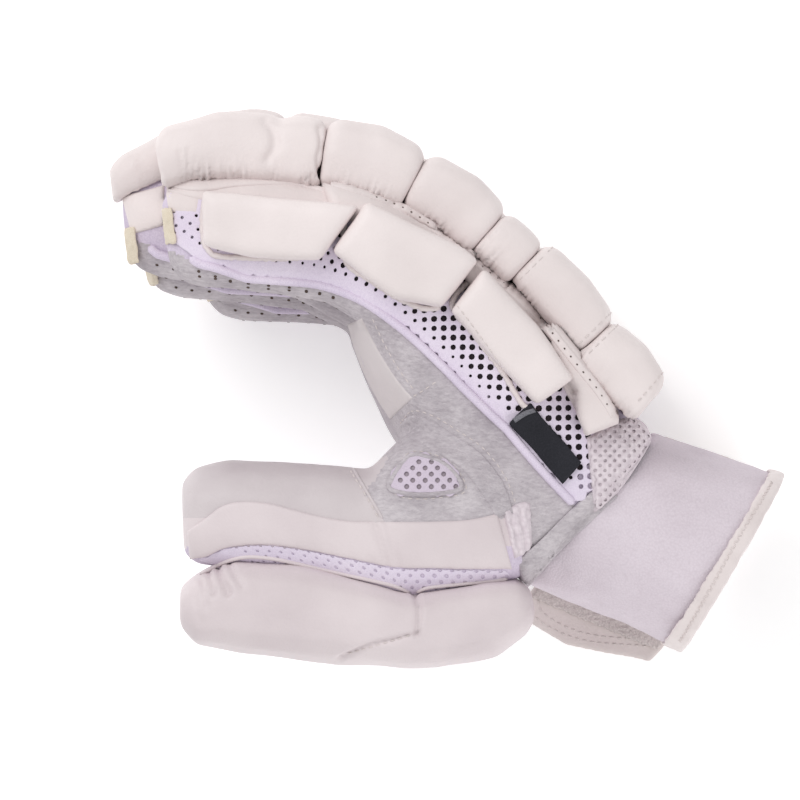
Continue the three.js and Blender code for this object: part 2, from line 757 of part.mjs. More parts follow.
// The piping over a finger's seam, half sunk between its two leathers.
function piping(finger, end) {
  const from = finger.start + PIPING_START;
  const count = Math.round((end - from) * 14);
  const points = [];
  for (let i = 0; i <= count; i++) {
    const share = mix(from, end, i / count);
    const height = seamHeight(finger, share);
    const along = (share - finger.start) / (STALL_END - finger.start);
    const sides = [];
    if (along < 1) sides.push(onSide(stallExtents(finger, along, 0), height));
    if (finger === index && share > BODY_RINGS[0].along) {
      sides.push(onSide(bodyExtents(share, 0), height));
    }
    const side = sides.reduce((a, b) => (b.z > a.z ? b : a));
    const lift = CLEARANCE + PIPING_RADIUS * 0.4;
    const place = above(finger.spine, share, height + side.outward.x * lift);
    points.push(place.setZ(side.z + side.outward.y * lift));
  }
  const section = new THREE.Shape();
  section.absarc(0, 0, PIPING_RADIUS, 0, Math.PI * 2);
  const geometry = new THREE.ExtrudeGeometry(section, {
    extrudePath: new THREE.CatmullRomCurve3(points),
    steps: Math.round(count * 1.5),
    curveSegments: 3,
    bevelEnabled: false,
  });
  return solidOf(geometry).subtract(clearForm);
}

// The tape folded over a fingertip.
function tipTape(finger) {
  const band = stall(finger, CLEARANCE + TAPE_WALL).subtract(stall(finger, CLEARANCE));
  const reach = TAPE_LENGTH / HAND_LENGTH;
  const [from, to] = [finger.start - reach, finger.start + reach];
  const drop = STALL_HEIGHT * finger.tape;
  const outline = [
    above(finger.spine, from, TAPE_TOP - drop),
    above(finger.spine, from, TAPE_FOOT - drop),
    above(finger.spine, to, TAPE_FOOT - drop),
    above(finger.spine, to, TAPE_TOP - drop),
  ];
  return band.intersect(prism(outline, 0, CUT_REACH));
}

// The woven tab, with one long edge sewn into the seam near the wrist.
function labelTab() {
  const middle = 0.868;
  const from = middle - LABEL_LENGTH / 2 / HAND_LENGTH;
  const to = middle + LABEL_LENGTH / 2 / HAND_LENGTH;
  const edge = (share) => PIPING_RADIUS + CLEARANCE + seamHeight(index, share);
  const outline = [
    above(index.spine, from, edge(from)),
    above(index.spine, to, edge(to)),
    above(index.spine, to, edge(to) + LABEL_WIDTH),
    above(index.spine, from, edge(from) + LABEL_WIDTH),
  ];
  return sidePad(outline, from, to, LABEL_THICK);
}

const glove = new THREE.Group();

function add(name, solid, color, roughness = 0.8) {
  const material = new THREE.MeshStandardMaterial({ color, roughness, metalness: 0 });
  const mesh = new THREE.Mesh(geometryOf(solid), material);
  mesh.name = name;
  glove.add(mesh);
}

const hand = handPieces();
add("hand_back", hand.back, LILAC_MESH, 0.9);
add("palm_suede", hand.palm, GREY_SUEDE, 0.95);
add("thumb_tip_leather", hand.thumbTip, GREY_LEATHER, 0.7);
add("thumb_side_panel", hand.thumbPanel, IVORY_LEATHER, 0.6);
add("thumb_back_mesh", hand.thumbBack, LILAC_MESH, 0.9);

for (const finger of fingers) {
  for (const row of ROLL_ROWS) {
    const solid = roll(finger, row, 0).subtract(clearForm);
    add(`${finger.name}_${row.name}_roll`, solid, IVORY_LEATHER, 0.6);
  }
  const end = finger === index ? INDEX_PIPING_END : PIPING_END;
  add(`${finger.name}_piping`, piping(finger, end), LILAC_BINDING, 0.85);
  add(`${finger.name}_tip_tape`, tipTape(finger), BEIGE_TAPE, 0.9);
}

const indexRolls = rollsOf(index, CLEARANCE);
const littleRolls = rollsOf(little, CLEARANCE);
for (const guard of SIDE_GUARDS) {
  add(`index_${guard.name}_guard`, sideGuard(guard).subtract(indexRolls), IVORY_LEATHER, 0.6);
  add(`little_${guard.name}_guard`, restGuard(guard).subtract(littleRolls), IVORY_LEATHER, 0.6);
}
const wristPanel = sidePad(
  cornersOn(index.spine, WRIST_PANEL),
  WRIST_PANEL[0].along,
  WRIST_PANEL[2].along,
  SIDE_PANEL,
);
add("wrist_side_panel", wristPanel.subtract(indexRolls), IVORY_LEATHER, 0.6);

const { first, second } = thumbRolls();
add("thumb_tip_roll", first, IVORY_LEATHER, 0.6);
add("thumb_base_roll", second, IVORY_LEATHER, 0.6);

add("cuff", cuff(), TOWELLING, 0.95);
add("cuff_binding", cuffBinding(), IVORY_LEATHER, 0.7);
add("strap", strap(), TOWELLING, 0.9);
add("strap_hook", strapHook(), HOOK_GREY, 1);
add("label_tab", labelTab(), BLACK_WEAVE, 0.9);

// The glove's origin is the middle of its outline, on the floor.
const box = new THREE.Box3().setFromObject(glove);
const middle = box.getCenter(new THREE.Vector3());
glove.position.set(-middle.x, -middle.y, -box.min.z);

const group = new THREE.Group();
group.add(glove);

export default group;
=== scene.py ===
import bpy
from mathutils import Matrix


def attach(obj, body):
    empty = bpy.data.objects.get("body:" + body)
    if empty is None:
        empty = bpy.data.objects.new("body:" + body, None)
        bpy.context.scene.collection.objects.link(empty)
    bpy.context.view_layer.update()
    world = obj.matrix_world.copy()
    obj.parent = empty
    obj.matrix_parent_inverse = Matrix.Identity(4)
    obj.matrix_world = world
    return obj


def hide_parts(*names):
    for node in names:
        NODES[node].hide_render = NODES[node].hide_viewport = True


bl_info = {
    "name": "Cricket batting glove",
    "version": (1, 0, 0),
    "blender": (4, 5, 0),
    "location": "View3D > Sidebar > Glove",
    "description": "Dresses a right-hand cricket batting glove in leather, suede, mesh and towelling",
    "category": "Object",
}

import math

import bmesh
import bpy
import numpy as np
from bpy.props import FloatProperty, PointerProperty
from mathutils import Matrix, Vector, noise
from mathutils.bvhtree import BVHTree

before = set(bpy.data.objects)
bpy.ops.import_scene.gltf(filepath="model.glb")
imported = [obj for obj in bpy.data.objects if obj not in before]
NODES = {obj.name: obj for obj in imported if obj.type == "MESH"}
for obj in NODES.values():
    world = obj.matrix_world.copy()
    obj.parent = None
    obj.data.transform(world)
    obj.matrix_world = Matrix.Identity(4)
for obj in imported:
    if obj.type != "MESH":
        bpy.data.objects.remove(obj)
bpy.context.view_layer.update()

MM = 0.001
MIDDLE_HEIGHT = 100  # about the glove's middle, in millimetres
CLEAR = 300  # outside the glove from its middle, in millimetres, where rays start

# The photo's view and the stage, in metres; the camera's sensor is in millimetres
SENSOR = 36
CAMERA_DISTANCE = 4.0
PHOTO_WIDTH = 0.272
PHOTO_MIDDLE = (-16.72 * MM, -3.88 * MM)
PHOTO_HEIGHT = 0.095
GLOVE_MIDDLE = 0.06
FLOOR_REACH = 3

SPINE_STEPS = 400
OVER_PADS = 60  # over every roll from its spine, in millimetres
UNDER_STALLS = -36  # under every stall from its spine, in millimetres

# The glove's own measures, in millimetres

HAND_LENGTH = 185
GLOVE_PLACE = Vector((58.077, -27.679, 0))  # of the wrist seam, in the frame
FINGER_PITCH = 25
STALL_WIDTH = 23.4
STALL_HEIGHT = 15
STALL_DEPTH = 24.5
SEAM_DEPTH = 18
STALL_END = 0.54
BACK_HEIGHT = 20
PALM_DEPTH = 50
LITTLE_PLACE = 21.55
FINGERS = ("little", "ring", "middle", "index")
ROWS = ("tip", "hinge", "middle", "base", "knuckle", "back", "wrist")
GUARDS = ("tip", "middle", "base")

# Knots of a finger's spine from its tip to the wrist, as shares of the hand's length
SPINE = (
    (0.836, 0.452),
    (0.744, 0.463),
    (0.634, 0.456),
    (0.524, 0.441),
    (0.432, 0.404),
    (0.349, 0.344),
    (0.257, 0.257),
    (0.165, 0.156),
    (0.083, 0.074),
    (0, 0),
)
# How far each fingertip reaches and drops from the index finger's, and where its stall starts
REACH = {
    "little": (-0.043, 0.065, 0.015),
    "ring": (0.07, 0.02, 0.02),
    "middle": (0.101, -0.02, 0.02),
    "index": (0, 0, 0),
}

# The seam between mesh and palm: share of the spine, share of the seam's depth
SEAM_LINE = (
    (-0.02, 0.2),
    (0.055, 0.86),
    (0.16, 1.12),
    (0.36, 1.07),
    (0.53, 1.01),
    (0.69, 0.98),
    (0.8, 0.9),
    (0.94, 1.03),
    (1.02, 1.1),
)

# Sections of a stall along its own length: shares of its width, height and depth
STALL_RINGS = (
    (0, 0.5, 0.5, 0.6),
    (0.03, 0.82, 0.78, 0.82),
    (0.11, 0.97, 0.96, 0.95),
    (0.3, 1, 1, 1),
    (0.62, 1, 1, 1),
    (1, 1, 1, 0.96),
)

# Sections of the hand's body along the spine: shares of its height and depth, and its narrowing
BODY_RINGS = (
    (0.41, 0.68, 0.38, 0.14),
    (0.46, 0.8, 0.58, 0.04),
    (0.55, 0.9, 0.73, 0),
    (0.66, 1, 0.88, 0),
    (0.79, 1, 1, 0),
    (0.9, 0.93, 1, 0),
    (1, 0.86, 1.05, 0),
)


# Curves and surfaces


def mix(a, b, share):
    return a + (b - a) * share


def clamp(value, low=0.0, high=1.0):
    return max(low, min(high, value))


def smooth_step(low, high, value):
    share = clamp((value - low) / (high - low))
    return share * share * (3 - 2 * share)


def read_table(rows, along, column):
    """A column of a table at a place along it, straight between its rows."""
    return float(np.interp(along, [row[0] for row in rows], [row[column] for row in rows]))


def curve_points(knots, steps=24):
    """Points on a centripetal Catmull-Rom curve through the knots."""
    knots = [np.array(knot, float) for knot in knots]
    ends = [2 * knots[0] - knots[1], *knots, 2 * knots[-1] - knots[-2]]
    found = []
    for p0, p1, p2, p3 in zip(ends, ends[1:], ends[2:], ends[3:]):
        t0 = 0.0
        t1 = t0 + math.sqrt(np.linalg.norm(p1 - p0))
        t2 = t1 + math.sqrt(np.linalg.norm(p2 - p1))
        t3 = t2 + math.sqrt(np.linalg.norm(p3 - p2))
        for t in np.linspace(t1, t2, steps, endpoint=False):
            a1 = (t1 - t) / (t1 - t0) * p0 + (t - t0) / (t1 - t0) * p1
            a2 = (t2 - t) / (t2 - t1) * p1 + (t - t1) / (t2 - t1) * p2
            a3 = (t3 - t) / (t3 - t2) * p2 + (t - t2) / (t3 - t2) * p3
            b1 = (t2 - t) / (t2 - t0) * a1 + (t - t0) / (t2 - t0) * a2
            b2 = (t3 - t) / (t3 - t1) * a2 + (t - t1) / (t3 - t1) * a3
            found.append((t2 - t) / (t2 - t1) * b1 + (t - t1) / (t2 - t1) * b2)
    found.append(knots[-1])
    return np.array(found)


class Line:
    """A smooth curve through knots, read by shares of its length."""

    def __init__(self, knots, steps=24):
        self.points = curve_points(knots, steps) if len(knots) > 2 else np.array(knots, float)
        spans = np.linalg.norm(np.diff(self.points, axis=0), axis=1)
        self.reach = np.concatenate([[0], np.cumsum(spans)])
        self.length = float(self.reach[-1])

    def at(self, share):
        """The point at a share of the length. Shares past the ends carry on straight."""
        place = clamp(share) * self.length
        point = np.array([np.interp(place, self.reach, column) for column in self.points.T])
        return point + self.towards(share) * (share - clamp(share)) * self.length

    def towards(self, share):
        """The direction at a share of the length."""
        place = clamp(share) * self.length
        first = int(clamp(np.searchsorted(self.reach, place) - 1, 0, len(self.reach) - 2))
        step = self.points[first + 1] - self.points[first]
        return step / np.linalg.norm(step)

    def shares(self, spacing):
        count = max(2, int(round(self.length / spacing)))
        return [i / count for i in range(count + 1)]


class Spine(Line):
    """A finger's spine in the photo plane, with heights above it."""

    def __init__(self, finger):
        reach, drop, self.start = REACH[finger]
        knots = []
        for i, (back, rise) in enumerate(SPINE):
            fade = 1 - i / (len(SPINE) - 1)
            x = GLOVE_PLACE.x - HAND_LENGTH * (back + reach * fade)
            y = GLOVE_PLACE.y + HAND_LENGTH * (rise - drop * fade)
            knots.append((x, y))
        super().__init__(knots)
        self.place = LITTLE_PLACE + FINGER_PITCH * FINGERS.index(finger)
        self.samples = np.array([self.at(i / SPINE_STEPS) for i in range(SPINE_STEPS + 1)])

    def above(self, share, height):
        along = self.towards(share)
        return self.at(share) + np.array((-along[1], along[0])) * height

    def seam(self, share):
        """The height of the seam between the finger's mesh and its palm side."""
        return -SEAM_DEPTH * read_table(SEAM_LINE, share - self.start, 1)

    def locate(self, points):
        """The share and the height of each point in the photo plane."""
        away = np.linalg.norm(points[:, None, :] - self.samples[None, :, :], axis=2)
        nearest = away.argmin(axis=1)
        shares = nearest / SPINE_STEPS
        steps = np.gradient(self.samples, axis=0)[nearest]
        steps /= np.linalg.norm(steps, axis=1)[:, None]
        off = points - self.samples[nearest]
        heights = off[:, 1] * steps[:, 0] - off[:, 0] * steps[:, 1]
        return shares, heights


SPINES = {finger: Spine(finger) for finger in FINGERS}


def half_width(height, top, foot, half, power):
    """Half the width of a rounded section at a height."""
    share = abs(height - (top + foot) / 2) / ((top - foot) / 2)
    return half * max(0.0, 1 - min(share, 1) ** power) ** (1 / power)


def side_place(finger, share, height, side):
    """Z of the shell's side at a share and height, on the thumb's side (1) or the other (-1)."""
    spine = SPINES[finger]
    along = (share - spine.start) / (STALL_END - spine.start)
    top = STALL_HEIGHT * read_table(STALL_RINGS, along, 2)
    foot = -STALL_DEPTH * read_table(STALL_RINGS, along, 3)
    half = STALL_WIDTH / 2 * read_table(STALL_RINGS, along, 1)
    found = spine.place + side * half_width(height, top, foot, half, 2.6)
    outer = (side > 0) == (finger == "index") and finger in ("index", "little")
    if not outer or share < BODY_RINGS[0][0]:
        return found
    fade = ((share - BODY_RINGS[0][0]) / (1 - BODY_RINGS[0][0])) ** 2
    inset = read_table(BODY_RINGS, share, 3) * STALL_WIDTH
    low, high = mix(9.85, 3, fade) + inset, mix(108.25, 98, fade) - inset
    top = BACK_HEIGHT * read_table(BODY_RINGS, share, 1)
    foot = -PALM_DEPTH * read_table(BODY_RINGS, share, 2)
    body = (low + high) / 2 + side * half_width(height, top, foot, (high - low) / 2, 3)
    if share > STALL_END:
        return body
    return max(found, body) if side > 0 else min(found, body)


# Making pieces


def linear(code):
    """An sRGB hex colour as linear red, green and blue."""
    parts = [int(code[i : i + 2], 16) / 255 for i in (1, 3, 5)]
    return [p / 12.92 if p <= 0.04045 else ((p + 0.055) / 1.055) ** 2.4 for p in parts]


def colour(code):
    return (*linear(code), 1)


def mesh_object(name, bm, material):
    """A new object at the origin with the bmesh as its mesh."""
    mesh = bpy.data.meshes.new(name)
    bm.to_mesh(mesh)
    bm.free()
    mesh.polygons.foreach_set("use_smooth", [True] * len(mesh.polygons))
    obj = bpy.data.objects.new(name, mesh)
    bpy.context.scene.collection.objects.link(obj)
    if material:
        mesh.materials.append(material)
    return obj


def dress(obj, slot, *nodes, fill=None):
    """Puts a piece on the glove, in place of the CAD nodes that it stands for."""
    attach(obj, "root")
    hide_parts(*nodes)
    return obj


def applied(obj):
    """The mesh of an object with its modifiers in it."""
    graph = bpy.context.evaluated_depsgraph_get()
    graph.update()
    mesh = bpy.data.meshes.new_from_object(obj.evaluated_get(graph))
    obj.modifiers.clear()
    old = obj.data
    obj.data = mesh
    bpy.data.meshes.remove(old)
    return mesh


def merged(*nodes):
    """A bmesh of CAD nodes, with their loose triangles joined."""
    bm = bmesh.new()
    for node in nodes:
        bm.from_mesh(NODES[node].data)
    bmesh.ops.remove_doubles(bm, verts=bm.verts, dist=0.002 * MM)
    return bm


def soft_copy(name, nodes, finish, voxel, rounds, swell, grow=0.0):
    """A remeshed and rounded copy of CAD nodes, grown first where two are to become one."""
    solid = merged(*nodes)
    solid.normal_update()
    for vert in solid.verts:
        vert.co += vert.normal * grow * MM
    coat = material(finish) if finish else None
    obj = mesh_object(name, solid, coat)
    remesh = obj.modifiers.new("Voxels", "REMESH")
    remesh.mode = "VOXEL"
    remesh.voxel_size = voxel * MM
    applied(obj)
    bm = bmesh.new()
    bm.from_mesh(obj.data)
    every_way = {"use_axis_x": True, "use_axis_y": True, "use_axis_z": True}
    for _ in range(rounds):
        bmesh.ops.smooth_vert(bm, verts=bm.verts, factor=0.5, **every_way)
    bm.normal_update()
    for vert in bm.verts:
        vert.co += vert.normal * swell * MM
    bm.to_mesh(obj.data)
    bm.free()
    obj.data.polygons.foreach_set("use_smooth", [True] * len(obj.data.polygons))
    if coat and not obj.data.materials:
        obj.data.materials.append(coat)
    return obj


def joined_skins(parts, border, voxel, rounds, swell):
    """Soft copies of touching CAD nodes, rounded as one skin and parted again along their seams.

    The border is a straight seam between two of them: their names and its two ends.
    """
    nodes = [node for node, _ in parts.values()]
    whole = soft_copy("whole_skin", nodes, None, voxel, rounds, swell)
    near, far, start, end = border
    start, end = Vector((*start, 0)), Vector((*end, 0))
    across = Vector((start.y - end.y, end.x - start.x, 0)).normalized()
    bm = bmesh.new()
    bm.from_mesh(whole.data)
    everything = [*bm.verts, *bm.edges, *bm.faces]
    bmesh.ops.bisect_plane(bm, geom=everything, plane_co=start * MM, plane_no=across)
    bm.to_mesh(whole.data)
    bm.free()
    names = list(parts)
    pair = (names.index(near), names.index(far))
    trees = []
    for node, _ in parts.values():
        bm = merged(node)
        trees.append(BVHTree.FromBMesh(bm))
        bm.free()
    owners = []
    for face in whole.data.polygons:
        spans = [tree.find_nearest(face.center)[3] for tree in trees]
        owner = spans.index(min(spans))
        spot = Vector((face.center.x / MM, face.center.y / MM, 0))
        if owner in pair and (spot - (start + end) / 2).length < 24 and spot.y < start.y + 8:
            owner = pair[0] if (spot - start).dot(across) > 0 else pair[1]
        owners.append(owner)
    for number, (name, (_, finish)) in enumerate(parts.items()):
        bm = bmesh.new()
        bm.from_mesh(whole.data)
        bm.faces.ensure_lookup_table()
        others = [face for face in bm.faces if owners[face.index] != number]
        bmesh.ops.delete(bm, geom=others, context="FACES")
        mesh_object(name, bm, material(finish))
    bpy.data.objects.remove(whole)


def coordinates(obj):
    """An object's vertices in millimetres."""
    found = np.empty(len(obj.data.vertices) * 3, np.float32)
    obj.data.vertices.foreach_get("co", found)
    return found.reshape(-1, 3).astype(float) / MM


def normals(obj):
    found = np.empty(len(obj.data.vertices) * 3, np.float32)
    obj.data.vertices.foreach_get("normal", found)
    return found.reshape(-1, 3).astype(float)


def place_vertices(obj, points):
    obj.data.vertices.foreach_set("co", (points * MM).astype(np.float32).ravel())
    obj.data.update()


def sheet_mesh(place, across, along, outward=None):
    """A grid of quads whose corners are set by place(s, t), with s and t from 0 to 1."""
    bm = bmesh.new()
    bmesh.ops.create_grid(bm, x_segments=along, y_segments=across, size=1)
    for vert in bm.verts:
        s, t = (vert.co.x + 1) / 2, (vert.co.y + 1) / 2
        vert.co = Vector(place(s, t)) * MM
    bm.normal_update()
    if outward is not None:
        turn = sum((face.normal * face.calc_area() for face in bm.faces), Vector()).dot(Vector(outward))
        if turn < 0:
            bmesh.ops.reverse_faces(bm, faces=bm.faces)
    return bm


def tube_mesh(path, radius, sides=8, spacing=1.2, taper=2.0, twist=None):
    """A closed round cord along a line, with rounded ends."""
    shares = path.shares(spacing)
    count = len(shares) - 1

    def place(s, t):
        share = shares[int(round(s * count))]
        middle = Vector(path.at(share))
        towards = Vector(path.towards(share))
        side = towards.cross(Vector((0, 0, 1))).normalized()
        up = side.cross(towards)
        edge = min(share, 1 - share) * path.length
        size = radius * math.sqrt(max(0.0, 1 - max(0.0, 1 - edge / taper) ** 2))
        angle = 2 * math.pi * t
        if twist:
            size *= twist(share * path.length, angle)
        return middle + side * math.cos(angle) * size + up * math.sin(angle) * size

    bm = sheet_mesh(place, sides, count)
    bmesh.ops.remove_doubles(bm, verts=bm.verts, dist=0.01 * MM)
    bmesh.ops.recalc_face_normals(bm, faces=bm.faces)
    return bm


class Surface:
    """Pieces made so far, as something that points can be laid on from outside."""

    def __init__(self, objects):
        corners, faces = [], []
        for obj in objects:
            first = len(corners)
            corners.extend(vert.co.copy() for vert in obj.data.vertices)
            faces.extend([first + i for i in face.vertices] for face in obj.data.polygons)
        self.tree = BVHTree.FromPolygons(corners, faces)

    def meet(self, start, towards):
        """Where a ray meets the surface, and the normal there, facing the ray."""
        towards = Vector(towards).normalized()
        point, normal, _, _ = self.tree.ray_cast(Vector(start) * MM, towards)
        if point is None:
            return None
        if normal.dot(towards) > 0:
            normal.negate()
        return point / MM, normal

    def lay(self, flat, lift=0.0, side=1):
        """A point of the photo plane laid on the surface, from above or from below."""
        found = self.meet((flat[0], flat[1], MIDDLE_HEIGHT + side * CLEAR), (0, 0, -side))
        if found is None:
            return None
        return found[0] + found[1] * lift


class Drape(Surface):
    """A surface that a sheet lies over without sinking into its narrow gaps."""

    def lay(self, flat, lift=0.0, side=1):
        turns = [i * math.pi / 4 for i in range(8)]
        spots = [(0, 0), *((2.4 * math.cos(turn), 2.4 * math.sin(turn)) for turn in turns)]
        found = [super(Drape, self).lay((flat[0] + a, flat[1] + b), 0, side) for a, b in spots]
        heights = [side * point.z for point in found if point is not None]
        if not heights:
            return None
        return Vector((flat[0], flat[1], side * (max(heights) + lift)))


def surface_of(*names, kind=Surface):
    return kind([bpy.data.objects[name] for name in names])


def crowded(length, edge, spacing):
    """Shares of a length that are close together at its two ends."""
    edge = min(edge, length / 4)
    count = max(2, int(round((length - 2 * edge) / spacing)))
    inner = np.linspace(edge, length - edge, count + 1)
    places = [0, edge * 0.15, edge * 0.5, *inner, length - edge * 0.5, length - edge * 0.15, length]
    return [place / length for place in places]


def panel(name, slot, surface, upper, lower, finish, lift=0.9, edge=1.2, spacing=1.5, side=1, shape=None):
    """A panel between two lines, laid on a surface, with rounded edges that meet it."""
    first, second = Line(upper), Line(lower)
    width = float(np.mean([np.linalg.norm(first.at(i / 8) - second.at(i / 8)) for i in range(9)]))
    length = (first.length + second.length) / 2
    alongs = crowded(length, edge, spacing)
    acrosses = crowded(width, edge, spacing)
    last = [Vector((0, 0, 0))]

    def place(s, t):
        share = alongs[int(round(s * (len(alongs) - 1)))]
        over = acrosses[int(round(t * (len(acrosses) - 1)))]
        flat = first.at(share) * (1 - over) + second.at(share) * over
        rim = min(share * length, (1 - share) * length, over * width, (1 - over) * width)
        rise = math.sqrt(max(0.0, 1 - (1 - clamp(rim / edge)) ** 2))
        height = lift * rise - 0.3 * (1 - rise)
        if shape:
            height += shape(share * length, over * width, share, over) * rise
        found = surface.lay(flat, height, side)
        if found is None:
            found = Vector((flat[0], flat[1], last[0].z))
        last[0] = found
        return found

    bm = sheet_mesh(place, len(acrosses) - 1, len(alongs) - 1, (0, 0, side))
    return dress(mesh_object(name, bm, material(finish)), slot)


def laid_path(surface, knots, spacing=1.5, lift=0.0, side=1):
    """A line of the photo plane laid on a surface, as points in millimetres."""
    line = Line(knots)
    found = [surface.lay(line.at(share), lift, side) for share in line.shares(spacing)]
    return [tuple(point) for point in found if point is not None]


def bead(bm, start, end, radius):
    """One stitch: a small bead of thread between two points."""
    start, end = Vector(start) * MM, Vector(end) * MM
    towards = end - start
    if towards.length < 1e-6:
        return
    turn = towards.to_track_quat("Z", "Y").to_matrix().to_4x4()
    size = Matrix.Diagonal((radius * MM, radius * MM, towards.length / 2, 1))
    place = Matrix.Translation((start + end) / 2) @ turn @ size
    bmesh.ops.create_uvsphere(bm, u_segments=6, v_segments=4, radius=1, matrix=place)


def sew(bm, path, length, radius=0.3, gap=0.35, sway=0.0):
    """Stitches along a path of points, straight or swaying from side to side."""
    if len(path) < 2:
        return
    line = Line(path, 2) if len(path) > 2 else Line(path)
    count = max(1, int(line.length / length))
    for i in range(count):
        a, b = (i + gap / 2) / count, (i + 1 - gap / 2) / count
        side = Vector(line.towards(a)).cross(Vector((0, 0, 1))).normalized() * sway
        turn = 1 if i % 2 else -1
        bead(bm, Vector(line.at(a)) - side * turn, Vector(line.at(b)) + side * turn, radius)


def cord(name, slot, path, finish, radius, nodes=(), **settings):
    """A round cord along points in millimetres."""
    obj = mesh_object(name, tube_mesh(Line(path, 3), radius, **settings), material(finish))
    return dress(obj, slot, *nodes)


def net_mesh(region, place, pitch, opening):
    """Open netting: a grid of diamonds with a hole in each, set in place by place(a, b, lift)."""
    low_a, high_a, low_b, high_b = region
    reach = max(high_a - low_a, high_b - low_b) * 0.72 + pitch
    count = int(2 * reach / pitch)
    bm = bmesh.new()
    bmesh.ops.create_grid(bm, x_segments=count, y_segments=count, size=reach)
    bmesh.ops.rotate(bm, verts=bm.verts, cent=(0, 0, 0), matrix=Matrix.Rotation(math.pi / 4, 3, "Z"))
    middle = Vector(((low_a + high_a) / 2, (low_b + high_b) / 2, 0))
    bmesh.ops.translate(bm, verts=bm.verts, vec=middle)
    outside = []
    for face in bm.faces:
        spot = face.calc_center_median()
        if not (low_a < spot.x < high_a and low_b < spot.y < high_b) or opening(spot.x, spot.y) is None:
            outside.append(face)
    bmesh.ops.delete(bm, geom=outside, context="FACES")
    classes = {}
    for face in bm.faces:
        spot = face.calc_center_median()
        classes.setdefault(round(opening(spot.x, spot.y), 1), []).append(face)
    open_faces = []
    for share, faces in classes.items():
        bar = pitch / 2 * (1 - share)
        bmesh.ops.inset_individual(bm, faces=faces, thickness=bar, use_even_offset=True)
        if share > 0.25:
            open_faces.extend(faces)
        else:
            dips = {vert for face in faces for vert in face.verts}
            bmesh.ops.translate(bm, verts=list(dips), vec=(0, 0, -0.35))
    bmesh.ops.delete(bm, geom=open_faces, context="FACES")
    lost = []
    for vert in bm.verts:
        found = place(*vert.co)
        if found is None:
            lost.append(vert)
        else:
            vert.co = Vector(found) * MM
    bmesh.ops.delete(bm, geom=lost, context="VERTS")
    bm.normal_update()
    return bm


def net(name, region, place, pitch, opening, finish, thickness):
    """A net with live thickness and smoothing, the same in the view as in the render."""
    obj = mesh_object(name, net_mesh(region, place, pitch, opening), material(finish))
    wall = obj.modifiers.new("Thickness", "SOLIDIFY")
    wall.thickness = thickness * MM
    wall.offset = 1
    rounding = obj.modifiers.new("Subdivision", "SUBSURF")
    rounding.levels = 1
    rounding.render_levels = 1
    return dress(obj, "lilac_mesh")


def slacken(obj, depth, size, seed):
    """Soft unevenness, as in cloth or thin leather over nothing rigid."""
    points, ways = coordinates(obj), normals(obj)
    moves = [noise.noise(Vector(point) / size + Vector((seed, 0, 0))) for point in points]
    place_vertices(obj, points + ways * (np.array(moves) * depth)[:, None])


def away_from(points, knots, steps):
    """How far each point is, in the photo plane, from a line through the knots."""
    line = Line(knots)
    track = np.array([line.at(i / steps) for i in range(steps + 1)])
    return np.linalg.norm(points[:, None, :2] - track[None], axis=2).min(axis=1)


def gather(obj, spine, foot, reach, depth, seed):
    """Short folds that run up from a pad's sewn foot."""
    points, ways = coordinates(obj), normals(obj)
    shares, heights = spine.locate(points[:, :2])
    moves = np.zeros(len(points))
    for i, (share, height) in enumerate(zip(shares, heights)):
        fade = 1 - smooth_step(foot, foot + reach, height)
        if fade <= 0:
            continue
        along = share * spine.length
        group = clamp(0.4 + 1.8 * noise.noise(Vector((along / 9, seed, 0))), 0.0, 1.0)
        fold = abs(noise.noise(Vector((along / 1.5, height / 16, seed + 7))))
        moves[i] = depth * fade * (group + 0.1) * (clamp(fold / 0.25) - 0.6)
    place_vertices(obj, points + ways * moves[:, None])


# Materials

# Sizes of the patterns on the real things, in millimetres
STAINS = 35.7
GRAIN = 0.9
GRAIN_DEPTH = 0.6
CREASES = 7.14
NAP_FIBRES = 1.111
NAP_DEPTH = 0.9
PATCHES = 18.18
CLOUDS = 22.22


def add(tree, kind, settings=None, links=None):
    """Adds a node with its settings and with links from other nodes' outputs."""
    node = tree.nodes.new(kind)
    for name, value in (settings or {}).items():
        if isinstance(name, int) or name in node.inputs:
            node.inputs[name].default_value = value
        else:
            setattr(node, name, value)
    for name, (source, output) in (links or {}).items():
        tree.links.new(source.outputs[output], node.inputs[name])
    return node


def new_material(name, code, roughness, **settings):
    """A material with its shader, its output and a link from the object's coordinates."""
    material = bpy.data.materials.new(name)
    material.use_nodes = True
    tree = material.node_tree
    tree.nodes.clear()
    settings = {"Base Color": colour(code), "Roughness": roughness, **settings}
    shader = add(tree, "ShaderNodeBsdfPrincipled", settings)
    add(tree, "ShaderNodeOutputMaterial", links={"Surface": (shader, "BSDF")})
    place = add(tree, "ShaderNodeTexCoord")
    return material, tree, shader, {"Vector": (place, "Object")}


def shade_in(tree, shader, codes, span, texture):
    """Colours a shader from one tone to another over a texture's span."""
    low, high = span
    ramp = add(tree, "ShaderNodeMapRange", {"From Min": low, "From Max": high}, {"Value": texture})
    tones = {"data_type": "RGBA", 6: colour(codes[0]), 7: colour(codes[1])}
    tint = add(tree, "ShaderNodeMix", tones, {0: (ramp, "Result")})
    tree.links.new(tint.outputs[2], shader.inputs["Base Color"])


